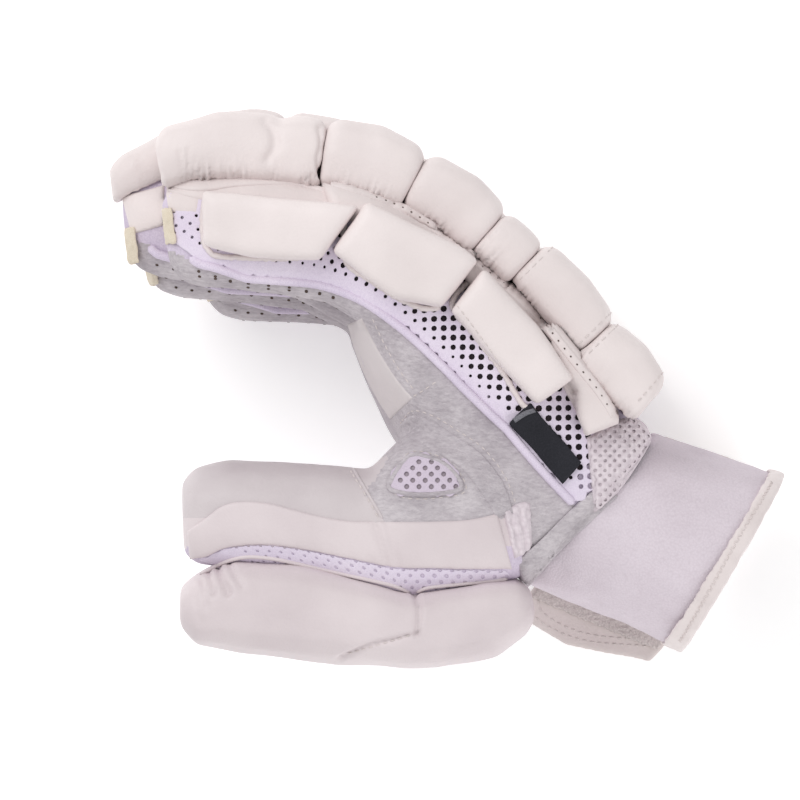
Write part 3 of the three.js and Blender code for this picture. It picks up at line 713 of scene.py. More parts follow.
def leather(name, code, shade, roughness=0.5):
    """Coated leather: fine pebbled grain, faint soiling and soft creases."""
    material, tree, shader, place = new_material(name, code, roughness, **{"Specular IOR Level": 0.4})
    stain = add(tree, "ShaderNodeTexNoise", {"Scale": 1000 / STAINS, "Detail": 4}, place)
    shade_in(tree, shader, (code, shade), (0.35, 0.75), (stain, "Fac"))
    pores = add(tree, "ShaderNodeTexVoronoi", {"Scale": 1000 / GRAIN}, place)
    creases = add(tree, "ShaderNodeTexNoise", {"Scale": 1000 / CREASES, "Detail": 5}, place)
    weigh = {"operation": "MULTIPLY_ADD", 1: 0.35}
    both = add(tree, "ShaderNodeMath", weigh, {0: (pores, "Distance"), 2: (creases, "Fac")})
    relief = {"Strength": 0.35, "Distance": GRAIN_DEPTH * MM}
    bump = add(tree, "ShaderNodeBump", relief, {"Height": (both, "Value")})
    tree.links.new(bump.outputs["Normal"], shader.inputs["Normal"])
    return material


def suede(name, code, shade):
    """Napped palm leather: no gloss, cloudy colour and short brushed fibres."""
    material, tree, shader, place = new_material(name, code, 0.92, **{"Specular IOR Level": 0.12})
    stretch = {"Rotation": (0, 0, 0.7), "Scale": (0.35, 1, 1)}
    brush = add(tree, "ShaderNodeMapping", stretch, place)
    nap = {"Scale": 1000 / NAP_FIBRES, "Detail": 6, "Roughness": 0.75}
    fibres = add(tree, "ShaderNodeTexNoise", nap, {"Vector": (brush, "Vector")})
    patches = add(tree, "ShaderNodeTexNoise", {"Scale": 1000 / PATCHES, "Detail": 4}, place)
    weigh = {"operation": "MULTIPLY_ADD", 1: 1.3}
    both = add(tree, "ShaderNodeMath", weigh, {0: (fibres, "Fac"), 2: (patches, "Fac")})
    shade_in(tree, shader, (code, shade), (0.9, 1.4), (both, "Value"))
    relief = {"Strength": 0.7, "Distance": NAP_DEPTH * MM}
    bump = add(tree, "ShaderNodeBump", relief, {"Height": (fibres, "Fac")})
    tree.links.new(bump.outputs["Normal"], shader.inputs["Normal"])
    return material


def cloth(name, code, shade, thread, height, roughness=0.85):
    """Knitted or woven cloth with a thread pattern of a real pitch in millimetres."""
    material, tree, shader, place = new_material(name, code, roughness, **{"Specular IOR Level": 0.2})
    weave = add(tree, "ShaderNodeTexVoronoi", {"Scale": 1000 / thread}, place)
    cloud = add(tree, "ShaderNodeTexNoise", {"Scale": 1000 / CLOUDS, "Detail": 6}, place)
    weigh = {"operation": "MULTIPLY_ADD", 1: 0.6}
    share = add(tree, "ShaderNodeMath", weigh, {0: (weave, "Distance"), 2: (cloud, "Fac")})
    shade_in(tree, shader, (code, shade), (0.4, 1.1), (share, "Value"))
    relief = {"Strength": 0.6, "Distance": height * MM, "invert": True}
    bump = add(tree, "ShaderNodeBump", relief, {"Height": (weave, "Distance")})
    tree.links.new(bump.outputs["Normal"], shader.inputs["Normal"])
    return material


MADE = {}


def material(name):
    """A finish of the glove, made once."""
    if name not in MADE:
        MADE[name] = FINISHES[name]()
    return MADE[name]


FINISHES = {
    # Split cowhide with an ivory polyurethane coat: a dry, even face with a faint soft gloss.
    "leather": lambda: leather("ivory_coated_leather", "#E8DEDD", "#D9CECD"),
    # The same coat painted a little greyer than the fingers: painted shade on the thumb.
    "shaded_thumb_leather": lambda: leather("shaded_coated_leather", "#DED3D5", "#D0C4C7"),
    # Smooth goatskin dyed grey: the darkest of the leathers, flat and matt.
    "patch_leather": lambda: leather("grey_smooth_leather", "#D2C9CB", "#C2B8BB"),
    # Brushed leather of the palm's edge band: matt, between suede and coat.
    "palm_leather": lambda: leather("white_palm_leather", "#D4CCCD", "#C8BFC0", 0.7),
    # Lining leather: thin, matt and slightly creased.
    "strap_leather": lambda: leather("strap_lining_leather", "#E6DCDA", "#D6CAC8", 0.6),
    # The coated leather stretched over flat foam, painted paler: painted light on the guards' flat faces.
    "lit_guard_leather": lambda: leather("lit_ivory_guard_leather", "#EDE3E2", "#E0D6D5"),
    # Sheepskin palm suede: cloudy grey nap with no gloss.
    "suede": lambda: suede("grey_palm_suede", "#D6CFD3", "#B1A9AF"),
    # Polyester backing knit: fine lilac rows under the netting.
    "knit": lambda: cloth("lilac_backing_knit", "#DDD2E2", "#C6BACD", 0.6, 0.12),
    # Warp-knitted spacer net: pale lilac bars round dark holes.
    "net": lambda: cloth("lilac_spacer_net", "#E8DFEC", "#D8CDDF", 0.45, 0.1),
    # The same net in the palm's vent, over its lining, painted greyer: painted shade.
    "shaded_vent_net": lambda: cloth("shaded_vent_spacer_net", "#D8CCDA", "#C7BBCA", 0.45, 0.1),
    # Knit behind the vent, painted grey: painted shade seen through the holes, not black.
    "vent_shade_lining": lambda: cloth("vent_shade_lining_knit", "#B3A7B0", "#A0949D", 0.6, 0.1),
    # Gathered polyester mesh: pale pink with coarse threads, as large as they need to show.
    "pink_mesh": lambda: cloth("pale_ruffled_mesh", "#EAE0E5", "#CDC1C8", 1.9, 0.7),
    # Folded knit tape over the pipings' cord: soft lilac edge lines.
    "binding": lambda: cloth("lilac_binding_tape", "#E9DFED", "#CFC3D7", 0.4, 0.08),
    # Inner lining in the net's holes, painted nearly black: painted shade of the hand's hollow.
    "painted_shade_lining": lambda: cloth("painted_shade_lining_knit", "#3A3236", "#241D21", 0.6, 0.1),
    # Short-pile cotton towelling: a soft lilac-grey face with no gloss.
    "towelling": lambda: cloth("lilac_grey_towelling", "#DFD5DD", "#D2C7CF", 0.8, 0.22, 0.95),
    # Beige cotton tape folded over the stalls' ends.
    "tape": lambda: cloth("beige_tape_weave", "#E5DBCC", "#D5C9B5", 0.5, 0.12),
    # Nylon hook tape: fuzzy, whitish rows.
    "hook": lambda: cloth("white_hook_tape", "#E4DAD8", "#C2B8B6", 0.7, 0.3),
    # Black damask weave: flat black with a low sheen.
    "label": lambda: cloth("black_damask_label", "#191A20", "#2A2A31", 0.45, 0.1, 0.6),
    # The label's folded end, where grey threads show.
    "label_edge": lambda: cloth("grey_label_fold", "#8B8A90", "#5C5C63", 0.4, 0.1, 0.7),
    # White polyester sewing thread: small bright beads.
    "thread": lambda: cloth("white_sewing_thread", "#E6DEDC", "#CFC5C3", 0.3, 0.05, 0.7),
    # Pulled needle holes and punched holes: painted brown shade, for the shade inside the holes in the
    # leather.
    "hole_shade": lambda: cloth("painted_needle_hole_shade", "#6A5B55", "#4A3E39", 0.5, 0.02, 0.95),
}


# Operators


class GloveSizes(bpy.types.PropertyGroup):
    """Sizes that a user would change."""

    gathers: FloatProperty(
        name="Gathers",
        description="Depth of the folds at the pads' feet",
        default=0.0012,
        unit="LENGTH",
    )
    stitch: FloatProperty(
        name="Stitch length",
        description="Length of one stitch",
        default=0.0026,
        unit="LENGTH",
    )
    net_pitch: FloatProperty(
        name="Net pitch",
        description="From hole to hole in the net",
        default=0.0033,
        unit="LENGTH",
    )


class OBJECT_OT_hand_shell(bpy.types.Operator):
    """Make the knitted shell under the rolls and the palm's suede"""

    bl_idname = "object.hand_shell"
    bl_label = "Hand shell and palm"

    def execute(self, context):
        parts = {
            "hand_knit": ("hand_back", "knit"),
            "palm_skin": ("palm_suede", "suede"),
            "thumb_patch": ("thumb_tip_leather", "patch_leather"),
            "thumb_side_strip": ("thumb_side_panel", "shaded_thumb_leather"),
            "thumb_knit": ("thumb_back_mesh", "knit"),
        }
        slots = ("lilac_mesh", "grey_suede", "grey_leather", "ivory_leather", "lilac_mesh")
        border = ("thumb_patch", "palm_skin", (-22.5, -44.3), (-33.0, -26.7))
        joined_skins(parts, border, voxel=1.35, rounds=10, swell=0.25)
        for (name, (node, _)), slot in zip(parts.items(), slots):
            skin = bpy.data.objects[name]
            slacken(skin, depth=0.7, size=16, seed=3)
            dress(skin, slot, node)
        return {"FINISHED"}


class OBJECT_OT_thumb_rolls(bpy.types.Operator):
    """Make the two foam rolls behind the thumb"""

    bl_idname = "object.thumb_rolls"
    bl_label = "Thumb rolls"

    def execute(self, context):
        # The thumb's pads take the greyer thumb leather: painted shade.
        pads = soft_copy(
            "thumb_roll_pads",
            ["thumb_tip_roll", "thumb_base_roll"],
            "shaded_thumb_leather",
            voxel=1.0,
            rounds=14,
            swell=0.25,
            grow=0.45,
        )
        slacken(pads, depth=0.7, size=18, seed=21)
        for knots, depth, width in (
            ([(-81.7, -61.7), (-80.0, -69.2)], 1.5, 1.2),
            ([(-78.6, -60.3), (-74.9, -69.2)], 1.8, 1.3),
            ([(-74.5, -60.0), (-70.4, -66.8)], 1.1, 1.1),
            ([(-83.7, -65.1), (-82.3, -73.9)], 1.0, 1.2),
            ([(-86.4, -68.5), (-84.4, -79.4)], 0.6, 1.4),
            ([(-12.3, -67.8), (-10.3, -73.9), (-10.9, -82.8)], 1.7, 1.0),
            ([(-10.9, -82.8), (-18.4, -84.8), (-26.9, -86.8), (-37.1, -91.3)], 1.5, 0.9),
        ):
            self.crease(pads, knots, depth, width)
        dress(pads, "ivory_leather", "thumb_tip_roll", "thumb_base_roll", fill=0.85)
        return {"FINISHED"}

    def crease(self, pads, knots, depth, width):
        """A fold or a sewn seam that is pressed into the pads along a line."""
        points, ways = coordinates(pads), normals(pads)
        away = away_from(points, knots, 40)
        dip = np.exp(-((away / width) ** 2)) - 0.25 * np.exp(-((away / width / 2.6) ** 2))
        place_vertices(pads, points - ways * (depth * dip * (ways[:, 2] > -0.2))[:, None])


class OBJECT_OT_finger_rolls(bpy.types.Operator):
    """Make the foam rolls over the fingers and the back of the hand"""

    bl_idname = "object.finger_rolls"
    bl_label = "Finger rolls"

    def execute(self, context):
        depth = context.scene.glove_sizes.gathers / MM
        for number, finger in enumerate(FINGERS):
            near = finger == "index"
            for row in ROWS[1:]:
                node = f"{finger}_{row}_roll"
                nodes = [f"{finger}_tip_roll", node] if row == "hinge" else [node]
                fine = near and row in ("hinge", "middle")
                voxel, rounds = (0.65, 30) if fine else (0.85, 22) if near else (1.3, 10)
                grow = 0.4 if row == "hinge" else 0
                swell = 0.5 - grow / 2
                roll = soft_copy(f"{node}_pad", nodes, "leather", voxel, rounds, swell, grow)
                seed = number * 20 + ROWS.index(row)
                slacken(roll, depth=0.5, size=13, seed=seed)
                foot = 14 if row in ("hinge", "middle", "base") else 16
                reach = 22 if row == "knuckle" else 9
                gather(roll, SPINES[finger], foot, reach, depth, seed)
                dress(roll, "ivory_leather", *nodes, fill=0.9)
        self.fold()
        return {"FINISHED"}

    def fold(self):
        """The soft folds in the leather over the first finger's tip and hinge rolls."""
        pad = bpy.data.objects["index_hinge_roll_pad"]
        points, ways = coordinates(pad), normals(pad)
        for knots, depth, width in (
            ([(-43.9, 88.6), (-43.2, 82.8), (-44.3, 77.7), (-43.2, 72.3)], 1.3, 1.1),
            ([(-62.3, 90.6), (-59.6, 86.6), (-59.2, 81.8), (-61.6, 77.7)], 1.0, 1.6),
            ([(-91.5, 80.1), (-90.2, 71.6)], 0.5, 0.8),
            ([(-88.5, 81.1), (-88.1, 71.6)], 0.6, 0.7),
        ):
            away = away_from(points, knots, 30)
            points = points - ways * (depth * np.exp(-((away / width) ** 2)))[:, None]
        place_vertices(pad, points)


class OBJECT_OT_side_guards(bpy.types.Operator):
    """Make the flat guards on the glove's two sides"""

    bl_idname = "object.side_guards"
    bl_label = "Side guards"

    def execute(self, context):
        for side in ("index", "little"):
            for number, place in enumerate(GUARDS):
                node = f"{side}_{place}_guard"
                shape = {"voxel": 0.9, "rounds": 9, "swell": 0.35}
                # The guards take the paler guard leather: painted light on their flat faces.
                guard = soft_copy(f"{node}_pad", [node], "lit_guard_leather", **shape)
                slacken(guard, depth=0.35, size=12, seed=60 + number)
                dress(guard, "ivory_leather", node, fill=0.95)
        self.flanges()
        nodes = ["wrist_side_panel"]
        leather_side = soft_copy("wrist_side_leather", nodes, "leather", voxel=0.7, rounds=5, swell=0.1)
        slacken(leather_side, depth=0.6, size=9, seed=71)
        dress(leather_side, "ivory_leather", "wrist_side_panel")
        return {"FINISHED"}

    def flanges(self):
        """The sewn edges that stand out under the index side's guards."""
        under = surface_of("hand_knit", "palm_skin", kind=Drape)

        def lumps(along, angle):
            return 1 + 0.5 * noise.noise(Vector((along / 1.3, math.sin(angle), math.cos(angle))))

        for name, knots in (
            ("tip_guard_edge", [
                (-83.0, 64.5), (-83.7, 55.6), (-82.7, 48.5), (-80.0, 45.4), (-71.1, 44.4),
                (-50.7, 44.4), (-43.9, 46.1),
            ]),
            ("middle_guard_edge", [
                (-34.1, 63.4), (-35.4, 57.7), (-35.8, 48.1), (-34.4, 42.0), (-26.6, 36.6),
                (-17.1, 30.5), (-8.2, 27.1), (-2.8, 27.4),
            ]),
            ("base_guard_edge", [
                (8.8, 38.6), (1.0, 28.8), (8.8, 17.9), (18.0, 5.6), (25.8, -6.3), (29.5, -7.3),
            ]),
        ):
            path = laid_path(under, knots, spacing=1.0, lift=1.2)
            cord(name, "ivory_leather", path, "leather", radius=1.0, spacing=0.6, twist=lumps)


class OBJECT_OT_side_nets(bpy.types.Operator):
    """Make the open netting on the glove's two sides, with the lining behind it painted nearly black as
    painted shade
    """

    bl_idname = "object.side_nets"
    bl_label = "Side nets"

    def execute(self, context):
        pitch = context.scene.glove_sizes.net_pitch / MM
        shell = surface_of("hand_knit", "palm_skin")
        for finger, side in (("index", 1), ("little", -1)):
            spine = SPINES[finger]
            self.painted_shade_lining(finger, side, spine, shell)

            def opening(a, b):
                share = a / spine.length
                low = spine.seam(share)
                if not 0.02 < share < 0.985 or not low + 0.5 < b < self.top(share):
                    return None
                rise = (b - low - 3.5) / 4.5
                most = mix(0.34, 0.7, smooth_step(0.26, 0.42, share))
                return clamp(mix(0.2, most, clamp(rise)), 0.2, most)

            def place(a, b, lift):
                share = a / spine.length
                return shell.lay(spine.above(share, b), 0.75 + lift, side)

            region = (0, spine.length, -24, 12)
            net(f"{finger}_side_net", region, place, pitch, opening, "net", thickness=0.45)
        return {"FINISHED"}

    def top(self, share):
        return mix(9, 12, smooth_step(0.4, 0.8, share))

    # The lining behind each side net, painted nearly black: painted shade of the glove's hollow.
    def painted_shade_lining(self, finger, side, spine, shell):
        shares = [0.05 + 0.9 * i / 24 for i in range(25)]
        upper = [spine.above(share, self.top(share) - 1) for share in shares]
        lower = [spine.above(share, spine.seam(share) + 4) for share in shares]
        name = f"{finger}_side_shade_lining"
        sizes = {"lift": 0.25, "edge": 0.6, "spacing": 1.6}
        panel(name, "lilac_mesh", shell, upper, lower, "painted_shade_lining", side=side, **sizes)


class OBJECT_OT_side_leather(bpy.types.Operator):
    """Make the leather strips between the rolls and the side guards"""

    bl_idname = "object.side_leather"
    bl_label = "Side leather"

    def execute(self, context):
        under = surface_of("hand_knit", "palm_skin")
        panel(
            "tip_side_strip",
            "ivory_leather",
            under,
            [
                (-97.0, 73.0), (-92.9, 72.3), (-82.7, 72.3), (-71.1, 73.3), (-60.9, 74.3),
                (-50.7, 74.0), (-40.5, 71.6), (-30.3, 68.9),
            ],
            [
                (-96.3, 66.8), (-91.5, 65.1), (-82.7, 62.8), (-71.1, 62.1), (-62.3, 61.4),
                (-50.7, 60.4), (-38.8, 59.4), (-33.0, 56.6),
            ],
            "leather",
            lift=1.5,
            edge=1.6,
        )
        panel(
            "tip_side_ledge",
            "ivory_leather",
            surface_of("tip_side_strip"),
            [
                (-95.3, 71.6), (-91.5, 70.9), (-82.7, 70.9), (-71.1, 71.9), (-60.9, 73.0),
                (-50.7, 73.0), (-41.2, 70.2),
            ],
            [
                (-94.6, 68.9), (-91.2, 67.5), (-82.7, 66.8), (-73.2, 68.2), (-62.3, 68.9),
                (-51.4, 68.9), (-42.2, 66.5),
            ],
            "leather",
            lift=0.7,
            edge=1.0,
        )
        panel(
            "tip_side_leather",
            "ivory_leather",
            under,
            [(-97.0, 71.6), (-92.2, 70.6), (-88.1, 70.2), (-82.7, 69.6)],
            [(-94.9, 60.0), (-91.5, 59.0), (-88.1, 59.0), (-85.1, 58.7)],
            "leather",
            lift=1.2,
            edge=1.2,
        )
        panel(
            "middle_tip_leather",
            "ivory_leather",
            under,
            [(-111.6, 65.5), (-107.2, 66.8), (-101.7, 68.2), (-97.0, 69.6)],
            [(-108.2, 52.6), (-104.4, 53.6), (-100.7, 54.6), (-97.3, 55.6)],
            "leather",
            lift=1.2,
            edge=1.2,
        )
        panel(
            "side_leather_band",
            "ivory_leather",
            surface_of("hand_knit", "palm_skin", kind=Drape),
            [
                (-44.6, 73.6), (-35.4, 70.9), (-26.6, 68.2), (-18.1, 65.5), (-11.3, 62.8), (5.7, 50.5),
                (13.2, 44.1), (22.7, 36.2),
            ],
            [
                (-40.5, 59.4), (-33.7, 56.6), (-26.2, 53.9), (-18.1, 51.2), (-9.9, 47.8), (1.0, 41.0),
                (8.4, 33.5), (17.3, 25.4),
            ],
            "leather",
            lift=3.2,
            edge=3.6,
            shape=lambda along, across, share, over: 2 + 5 * smooth_step(0.6, 0.9, share),
        )
        panel(
            "wrist_leather_panel",
            "ivory_leather",
            surface_of("hand_knit", "palm_skin", "wrist_side_leather", kind=Drape),
            [
                (15.9, 43.0), (31.2, 29.1), (39.7, 18.2), (47.2, 9.0), (53.0, 0.9), (57.7, -8.0),
                (57.4, -12.0),
            ],
            [
                (9.8, 33.5), (22.7, 20.6), (30.9, 11.1), (37.7, 1.6), (41.8, -5.6), (44.5, -12.0),
                (46.5, -16.1),
            ],
            "leather",
            lift=2.6,
            edge=2.6,
            shape=lambda along, across, share, over: 8 * (1 - smooth_step(0.2, 0.5, share)),
        )

        def frill(along, across, share, over):
            pull = math.exp(-(((along % 3.4 - 1.7) / 0.8) ** 2)) * math.sin(math.pi * over)
            return 0.5 * noise.noise(Vector((along / 2.2, across / 8, 3))) - 0.5 * pull

        panel(
            "sewn_leather_seam",
            "ivory_leather",
            surface_of("side_leather_band", "tip_side_strip"),
            [
                (-39.5, 71.6), (-26.6, 67.5), (-18.8, 64.5), (-12.6, 61.4), (4.7, 49.2), (12.2, 42.7),
                (21.0, 35.9),
            ],
            [
                (-40.2, 68.9), (-27.3, 64.8), (-19.4, 61.7), (-13.7, 58.7), (3.3, 46.8), (10.5, 40.3),
                (19.3, 33.2),
            ],
            "leather",
            lift=1.0,
            edge=1.1,
            spacing=1.1,
            shape=frill,
        )
        panel(
            "sewn_wrist_seam",
            "ivory_leather",
            surface_of("side_leather_band", "wrist_leather_panel", "wrist_side_leather"),
            [
                (21.0, 35.9), (31.2, 26.0), (39.0, 16.2), (46.2, 7.3), (51.3, 1.2), (55.7, -5.6),
                (57.1, -8.3),
            ],
            [
                (19.0, 33.5), (28.8, 23.7), (36.7, 13.8), (43.8, 5.0), (48.9, -1.2), (53.3, -7.6),
                (54.7, -10.0),
            ],
            "leather",
            lift=0.8,
            edge=0.9,
            spacing=1.1,
            shape=frill,
        )
        return {"FINISHED"}


class OBJECT_OT_palm_panels(bpy.types.Operator):
    """Make the overlays, vent, band and holes of the suede palm"""

    bl_idname = "object.palm_panels"
    bl_label = "Palm panels"

    def execute(self, context):
        skin = surface_of("palm_skin", "hand_knit")
        panel(
            "palm_edge_band",
            "grey_leather",
            skin,
            [(-34.7, 22.0), (-32.7, 14.8), (-29.3, 5.6), (-24.5, -3.9), (-20.1, -10.7)],
            [(-29.6, 24.0), (-25.6, 15.8), (-20.8, 7.7), (-16.0, 0.9), (-12.3, -3.2)],
            "palm_leather",
            lift=0.4,
            edge=0.8,
        )
        panel(
            "palm_overlay",
            "grey_suede",
            skin,
            [
                (-17.7, -13.4), (-13.0, -9.0), (-5.8, -11.0), (2.0, -15.8), (10.5, -21.6),
                (18.3, -31.8), (22.4, -44.7), (23.1, -53.2),
            ],
            [
                (-16.0, -19.2), (-12.6, -17.5), (-8.6, -19.2), (-3.1, -22.6), (4.4, -27.7),
                (10.5, -35.2), (15.6, -44.0), (17.3, -51.5),
            ],
            "suede",
            lift=0.7,
            edge=0.8,
        )
        self.vent(skin)
        self.holes()
        return {"FINISHED"}

    def vent(self, skin):
        """The triangular mesh vent with its sewn rim."""
        rim = [
            (-20.5, -33.5), (-18.1, -28.4), (-13.3, -22.9), (-6.5, -23.6), (-0.1, -27.0), (4.0, -33.5),
            (-3.1, -35.5), (-15.0, -35.5),
        ]
        # The lining behind the vent, painted grey: painted shade behind its holes.
        panel(
            "vent_shade_lining",
            "lilac_mesh",
            skin,
            [(-19.4, -32.4), (-17.1, -27.7), (-13.0, -23.6), (-6.5, -24.3), (-0.7, -27.7), (3.0, -32.8)],
            [(-19.1, -34.1), (-15.0, -34.8), (-11.3, -35.2), (-7.2, -35.2), (-3.1, -34.8), (3.3, -33.5)],
            "vent_shade_lining",
            lift=0.15,
            edge=0.5,
            spacing=1.2,
        )
        outline = [np.array(point) for point in rim]
        ring = Line([*rim, rim[0]])
        marks = np.array([ring.at(i / 90) for i in range(91)])

        def opening(a, b):
            inside = False
            for (x1, y1), (x2, y2) in zip(outline, outline[1:] + outline[:1]):
                if (y1 > b) != (y2 > b) and a < (x2 - x1) * (b - y1) / (y2 - y1) + x1:
                    inside = not inside
            near = np.linalg.norm(marks - np.array((a, b)), axis=1).min()
            return 0.55 if inside and near > 1.2 else 0.1 if inside or near < 0.6 else None

        low = np.min(outline, axis=0)
        high = np.max(outline, axis=0)

        def place(a, b, lift):
            return skin.lay((a, b), 0.45 + lift)

        region = (low[0] - 2, high[0] + 2, low[1] - 2, high[1] + 2)
        # The vent's net takes the greyer copy of the net: painted shade.
        net("shaded_vent_net", region, place, 2.9, opening, "shaded_vent_net", thickness=0.4)
        path = laid_path(skin, rim + rim[:2], spacing=1.2, lift=0.15)
        cord("vent_rim", "grey_suede", path, "suede", radius=0.95, spacing=0.9)

    def holes(self):
        """Small punched holes in the fingers' suede undersides, as thin discs painted with the shade
        inside them.
        """
        skin = surface_of("palm_skin")
        bm = bmesh.new()
        for finger in FINGERS:
            spine = SPINES[finger]
            for number in range(9):
                share = spine.start + 0.05 + 0.038 * number
                for across in (-6, 1, 7.5):
                    shift = 0.019 if across == 1 else 0
                    flat = spine.above(share + shift, UNDER_STALLS)
                    up = spine.above(share + shift, 0) - flat
                    self.punch(bm, skin.meet((*flat, spine.place + across), (*up, 0)))
                flat = spine.above(share, spine.seam(share) - 3)
                if finger == "index":
                    self.punch(bm, skin.meet((*flat, CLEAR), (0, 0, -1)))
        holes = mesh_object("palm_hole_shades", bm, material("hole_shade"))
        dress(holes, "grey_suede")

    def punch(self, bm, found):
        if found is None:
            return
        point, way = found
        turn = way.to_track_quat("Z", "Y").to_matrix().to_4x4()
        place = Matrix.Translation((point + way * 0.08) * MM) @ turn
        bmesh.ops.create_cone(
            bm,
            segments=8,
            radius1=0.6 * MM,
            radius2=0.5 * MM,
            depth=0.1 * MM,
            cap_ends=True,
            matrix=place,
        )


class OBJECT_OT_thumb_panels(bpy.types.Operator):
    """Make the leather strip, the net and the seams along the thumb"""

    bl_idname = "object.thumb_panels"
    bl_label = "Thumb panels"

    def execute(self, context):
        under = surface_of("thumb_patch", "thumb_side_strip", "thumb_knit", "palm_skin")
        upper = [
            (-88.8, -48.4), (-82.3, -43.7), (-77.9, -40.3), (-73.5, -38.6), (-68.7, -38.2),
            (-60.9, -38.9), (-54.1, -40.6), (-46.6, -42.6), (-35.4, -44.7), (-20.8, -45.0),
            (-6.5, -45.0), (7.1, -44.3), (16.3, -42.3),
        ]
        lower = [
            (-88.1, -57.9), (-82.3, -56.9), (-77.2, -54.5), (-71.1, -53.2), (-65.0, -52.8),
            (-57.5, -53.2), (-49.0, -54.5), (-40.5, -56.2), (-30.3, -58.3), (-18.4, -60.7),
            (-4.8, -61.0), (7.1, -61.3), (21.4, -61.3),
        ]

        def pucker(along, across, share, over):
            seams = math.exp(-(((along - 68) / 1.0) ** 2)) + 0.7 * math.exp(-(((along - 72) / 0.9) ** 2))
            waves = noise.noise(Vector((along / 3.2, across / 22, 5)))
            return -0.9 * seams + 0.5 * waves * smooth_step(0.3, 1, over)

        # The strip takes the greyer thumb leather: painted shade.
        panel(
            "thumb_leather_strip",
            "ivory_leather",
            under,
            upper,
            lower,
            "shaded_thumb_leather",
            lift=0.9,
            edge=1.2,
            spacing=1.1,
            shape=pucker,
        )
        self.net_band(under, lower)
        self.gathered(under)
        path = laid_path(under, [(-33.0, -26.3), (-27.6, -35.5), (-22.5, -44.3)], spacing=1.0, lift=-0.1)
        cord("thumb_patch_edge", "grey_leather", path, "patch_leather", radius=0.6, spacing=0.9)
        rolls = surface_of("thumb_knit", "thumb_roll_pads")
        for name, knots in (
            ("thumb_tip_seam", [
                (-84.7, -63.4), (-77.2, -59.0), (-69.4, -56.9), (-60.9, -57.3), (-50.7, -59.3),
                (-37.1, -62.4), (-26.9, -64.7), (-18.4, -66.8), (-13.0, -69.2),
            ]),
            ("thumb_base_seam", [
                (-11.6, -69.2), (-8.2, -67.5), (0.3, -66.4), (10.5, -65.4), (20.0, -64.4),
            ]),
        ):
            path = laid_path(rolls, knots, spacing=1.4, lift=0.3)
            cord(name, "ivory_leather", path, "shaded_thumb_leather", radius=0.75, spacing=1.4)
        return {"FINISHED"}

    def net_band(self, under, upper):
        """The lilac net between the leather strip and the rolls."""
        first = Line(upper)
        second = Line([
            (-83.7, -63.0), (-78.6, -61.7), (-69.4, -59.3), (-50.7, -61.7), (-35.4, -65.1),
            (-20.1, -68.5), (-12.6, -71.9), (-3.1, -69.2), (10.5, -67.8), (21.4, -66.4),
        ])
        length = first.length

        def flat(a, b):
            share = clamp(a / length)
            return first.at(share) + (second.at(share) - first.at(share)) * clamp(b)

        def width(a):
            return float(np.linalg.norm(first.at(a / length) - second.at(a / length)))

        def opening(a, b):
            if not 3 < a < length - 0.5 or not -0.5 < b < width(a) + 0.5:
                return None
            return clamp(0.2 + 0.35 * (a / length), 0.15, 0.5)

        def place(a, b, lift):
            return under.lay(flat(a, b / max(width(a), 0.1)), 0.4 + lift)

        net("thumb_net", (0, length, -1, 14), place, 2.9, opening, "net", thickness=0.4)

    def gathered(self, under):
        """The small gathered mesh piece beside the strap's root."""

        def ruffle(along, across, share, over):
            return 0.5 * math.sin(along * 2.1 + 1.5 * noise.noise(Vector((across / 3, 0, 9))))

        panel(
            "thumb_gathered_mesh",
            "lilac_mesh",
            under,
            [(18.3, -42.0), (21.4, -39.9), (24.4, -38.6), (27.5, -38.6)],
            [(22.0, -57.6), (24.1, -56.9), (26.1, -55.6), (28.2, -53.5)],
            "pink_mesh",
            lift=0.9,
            edge=0.9,
            spacing=0.7,
            shape=ruffle,
        )


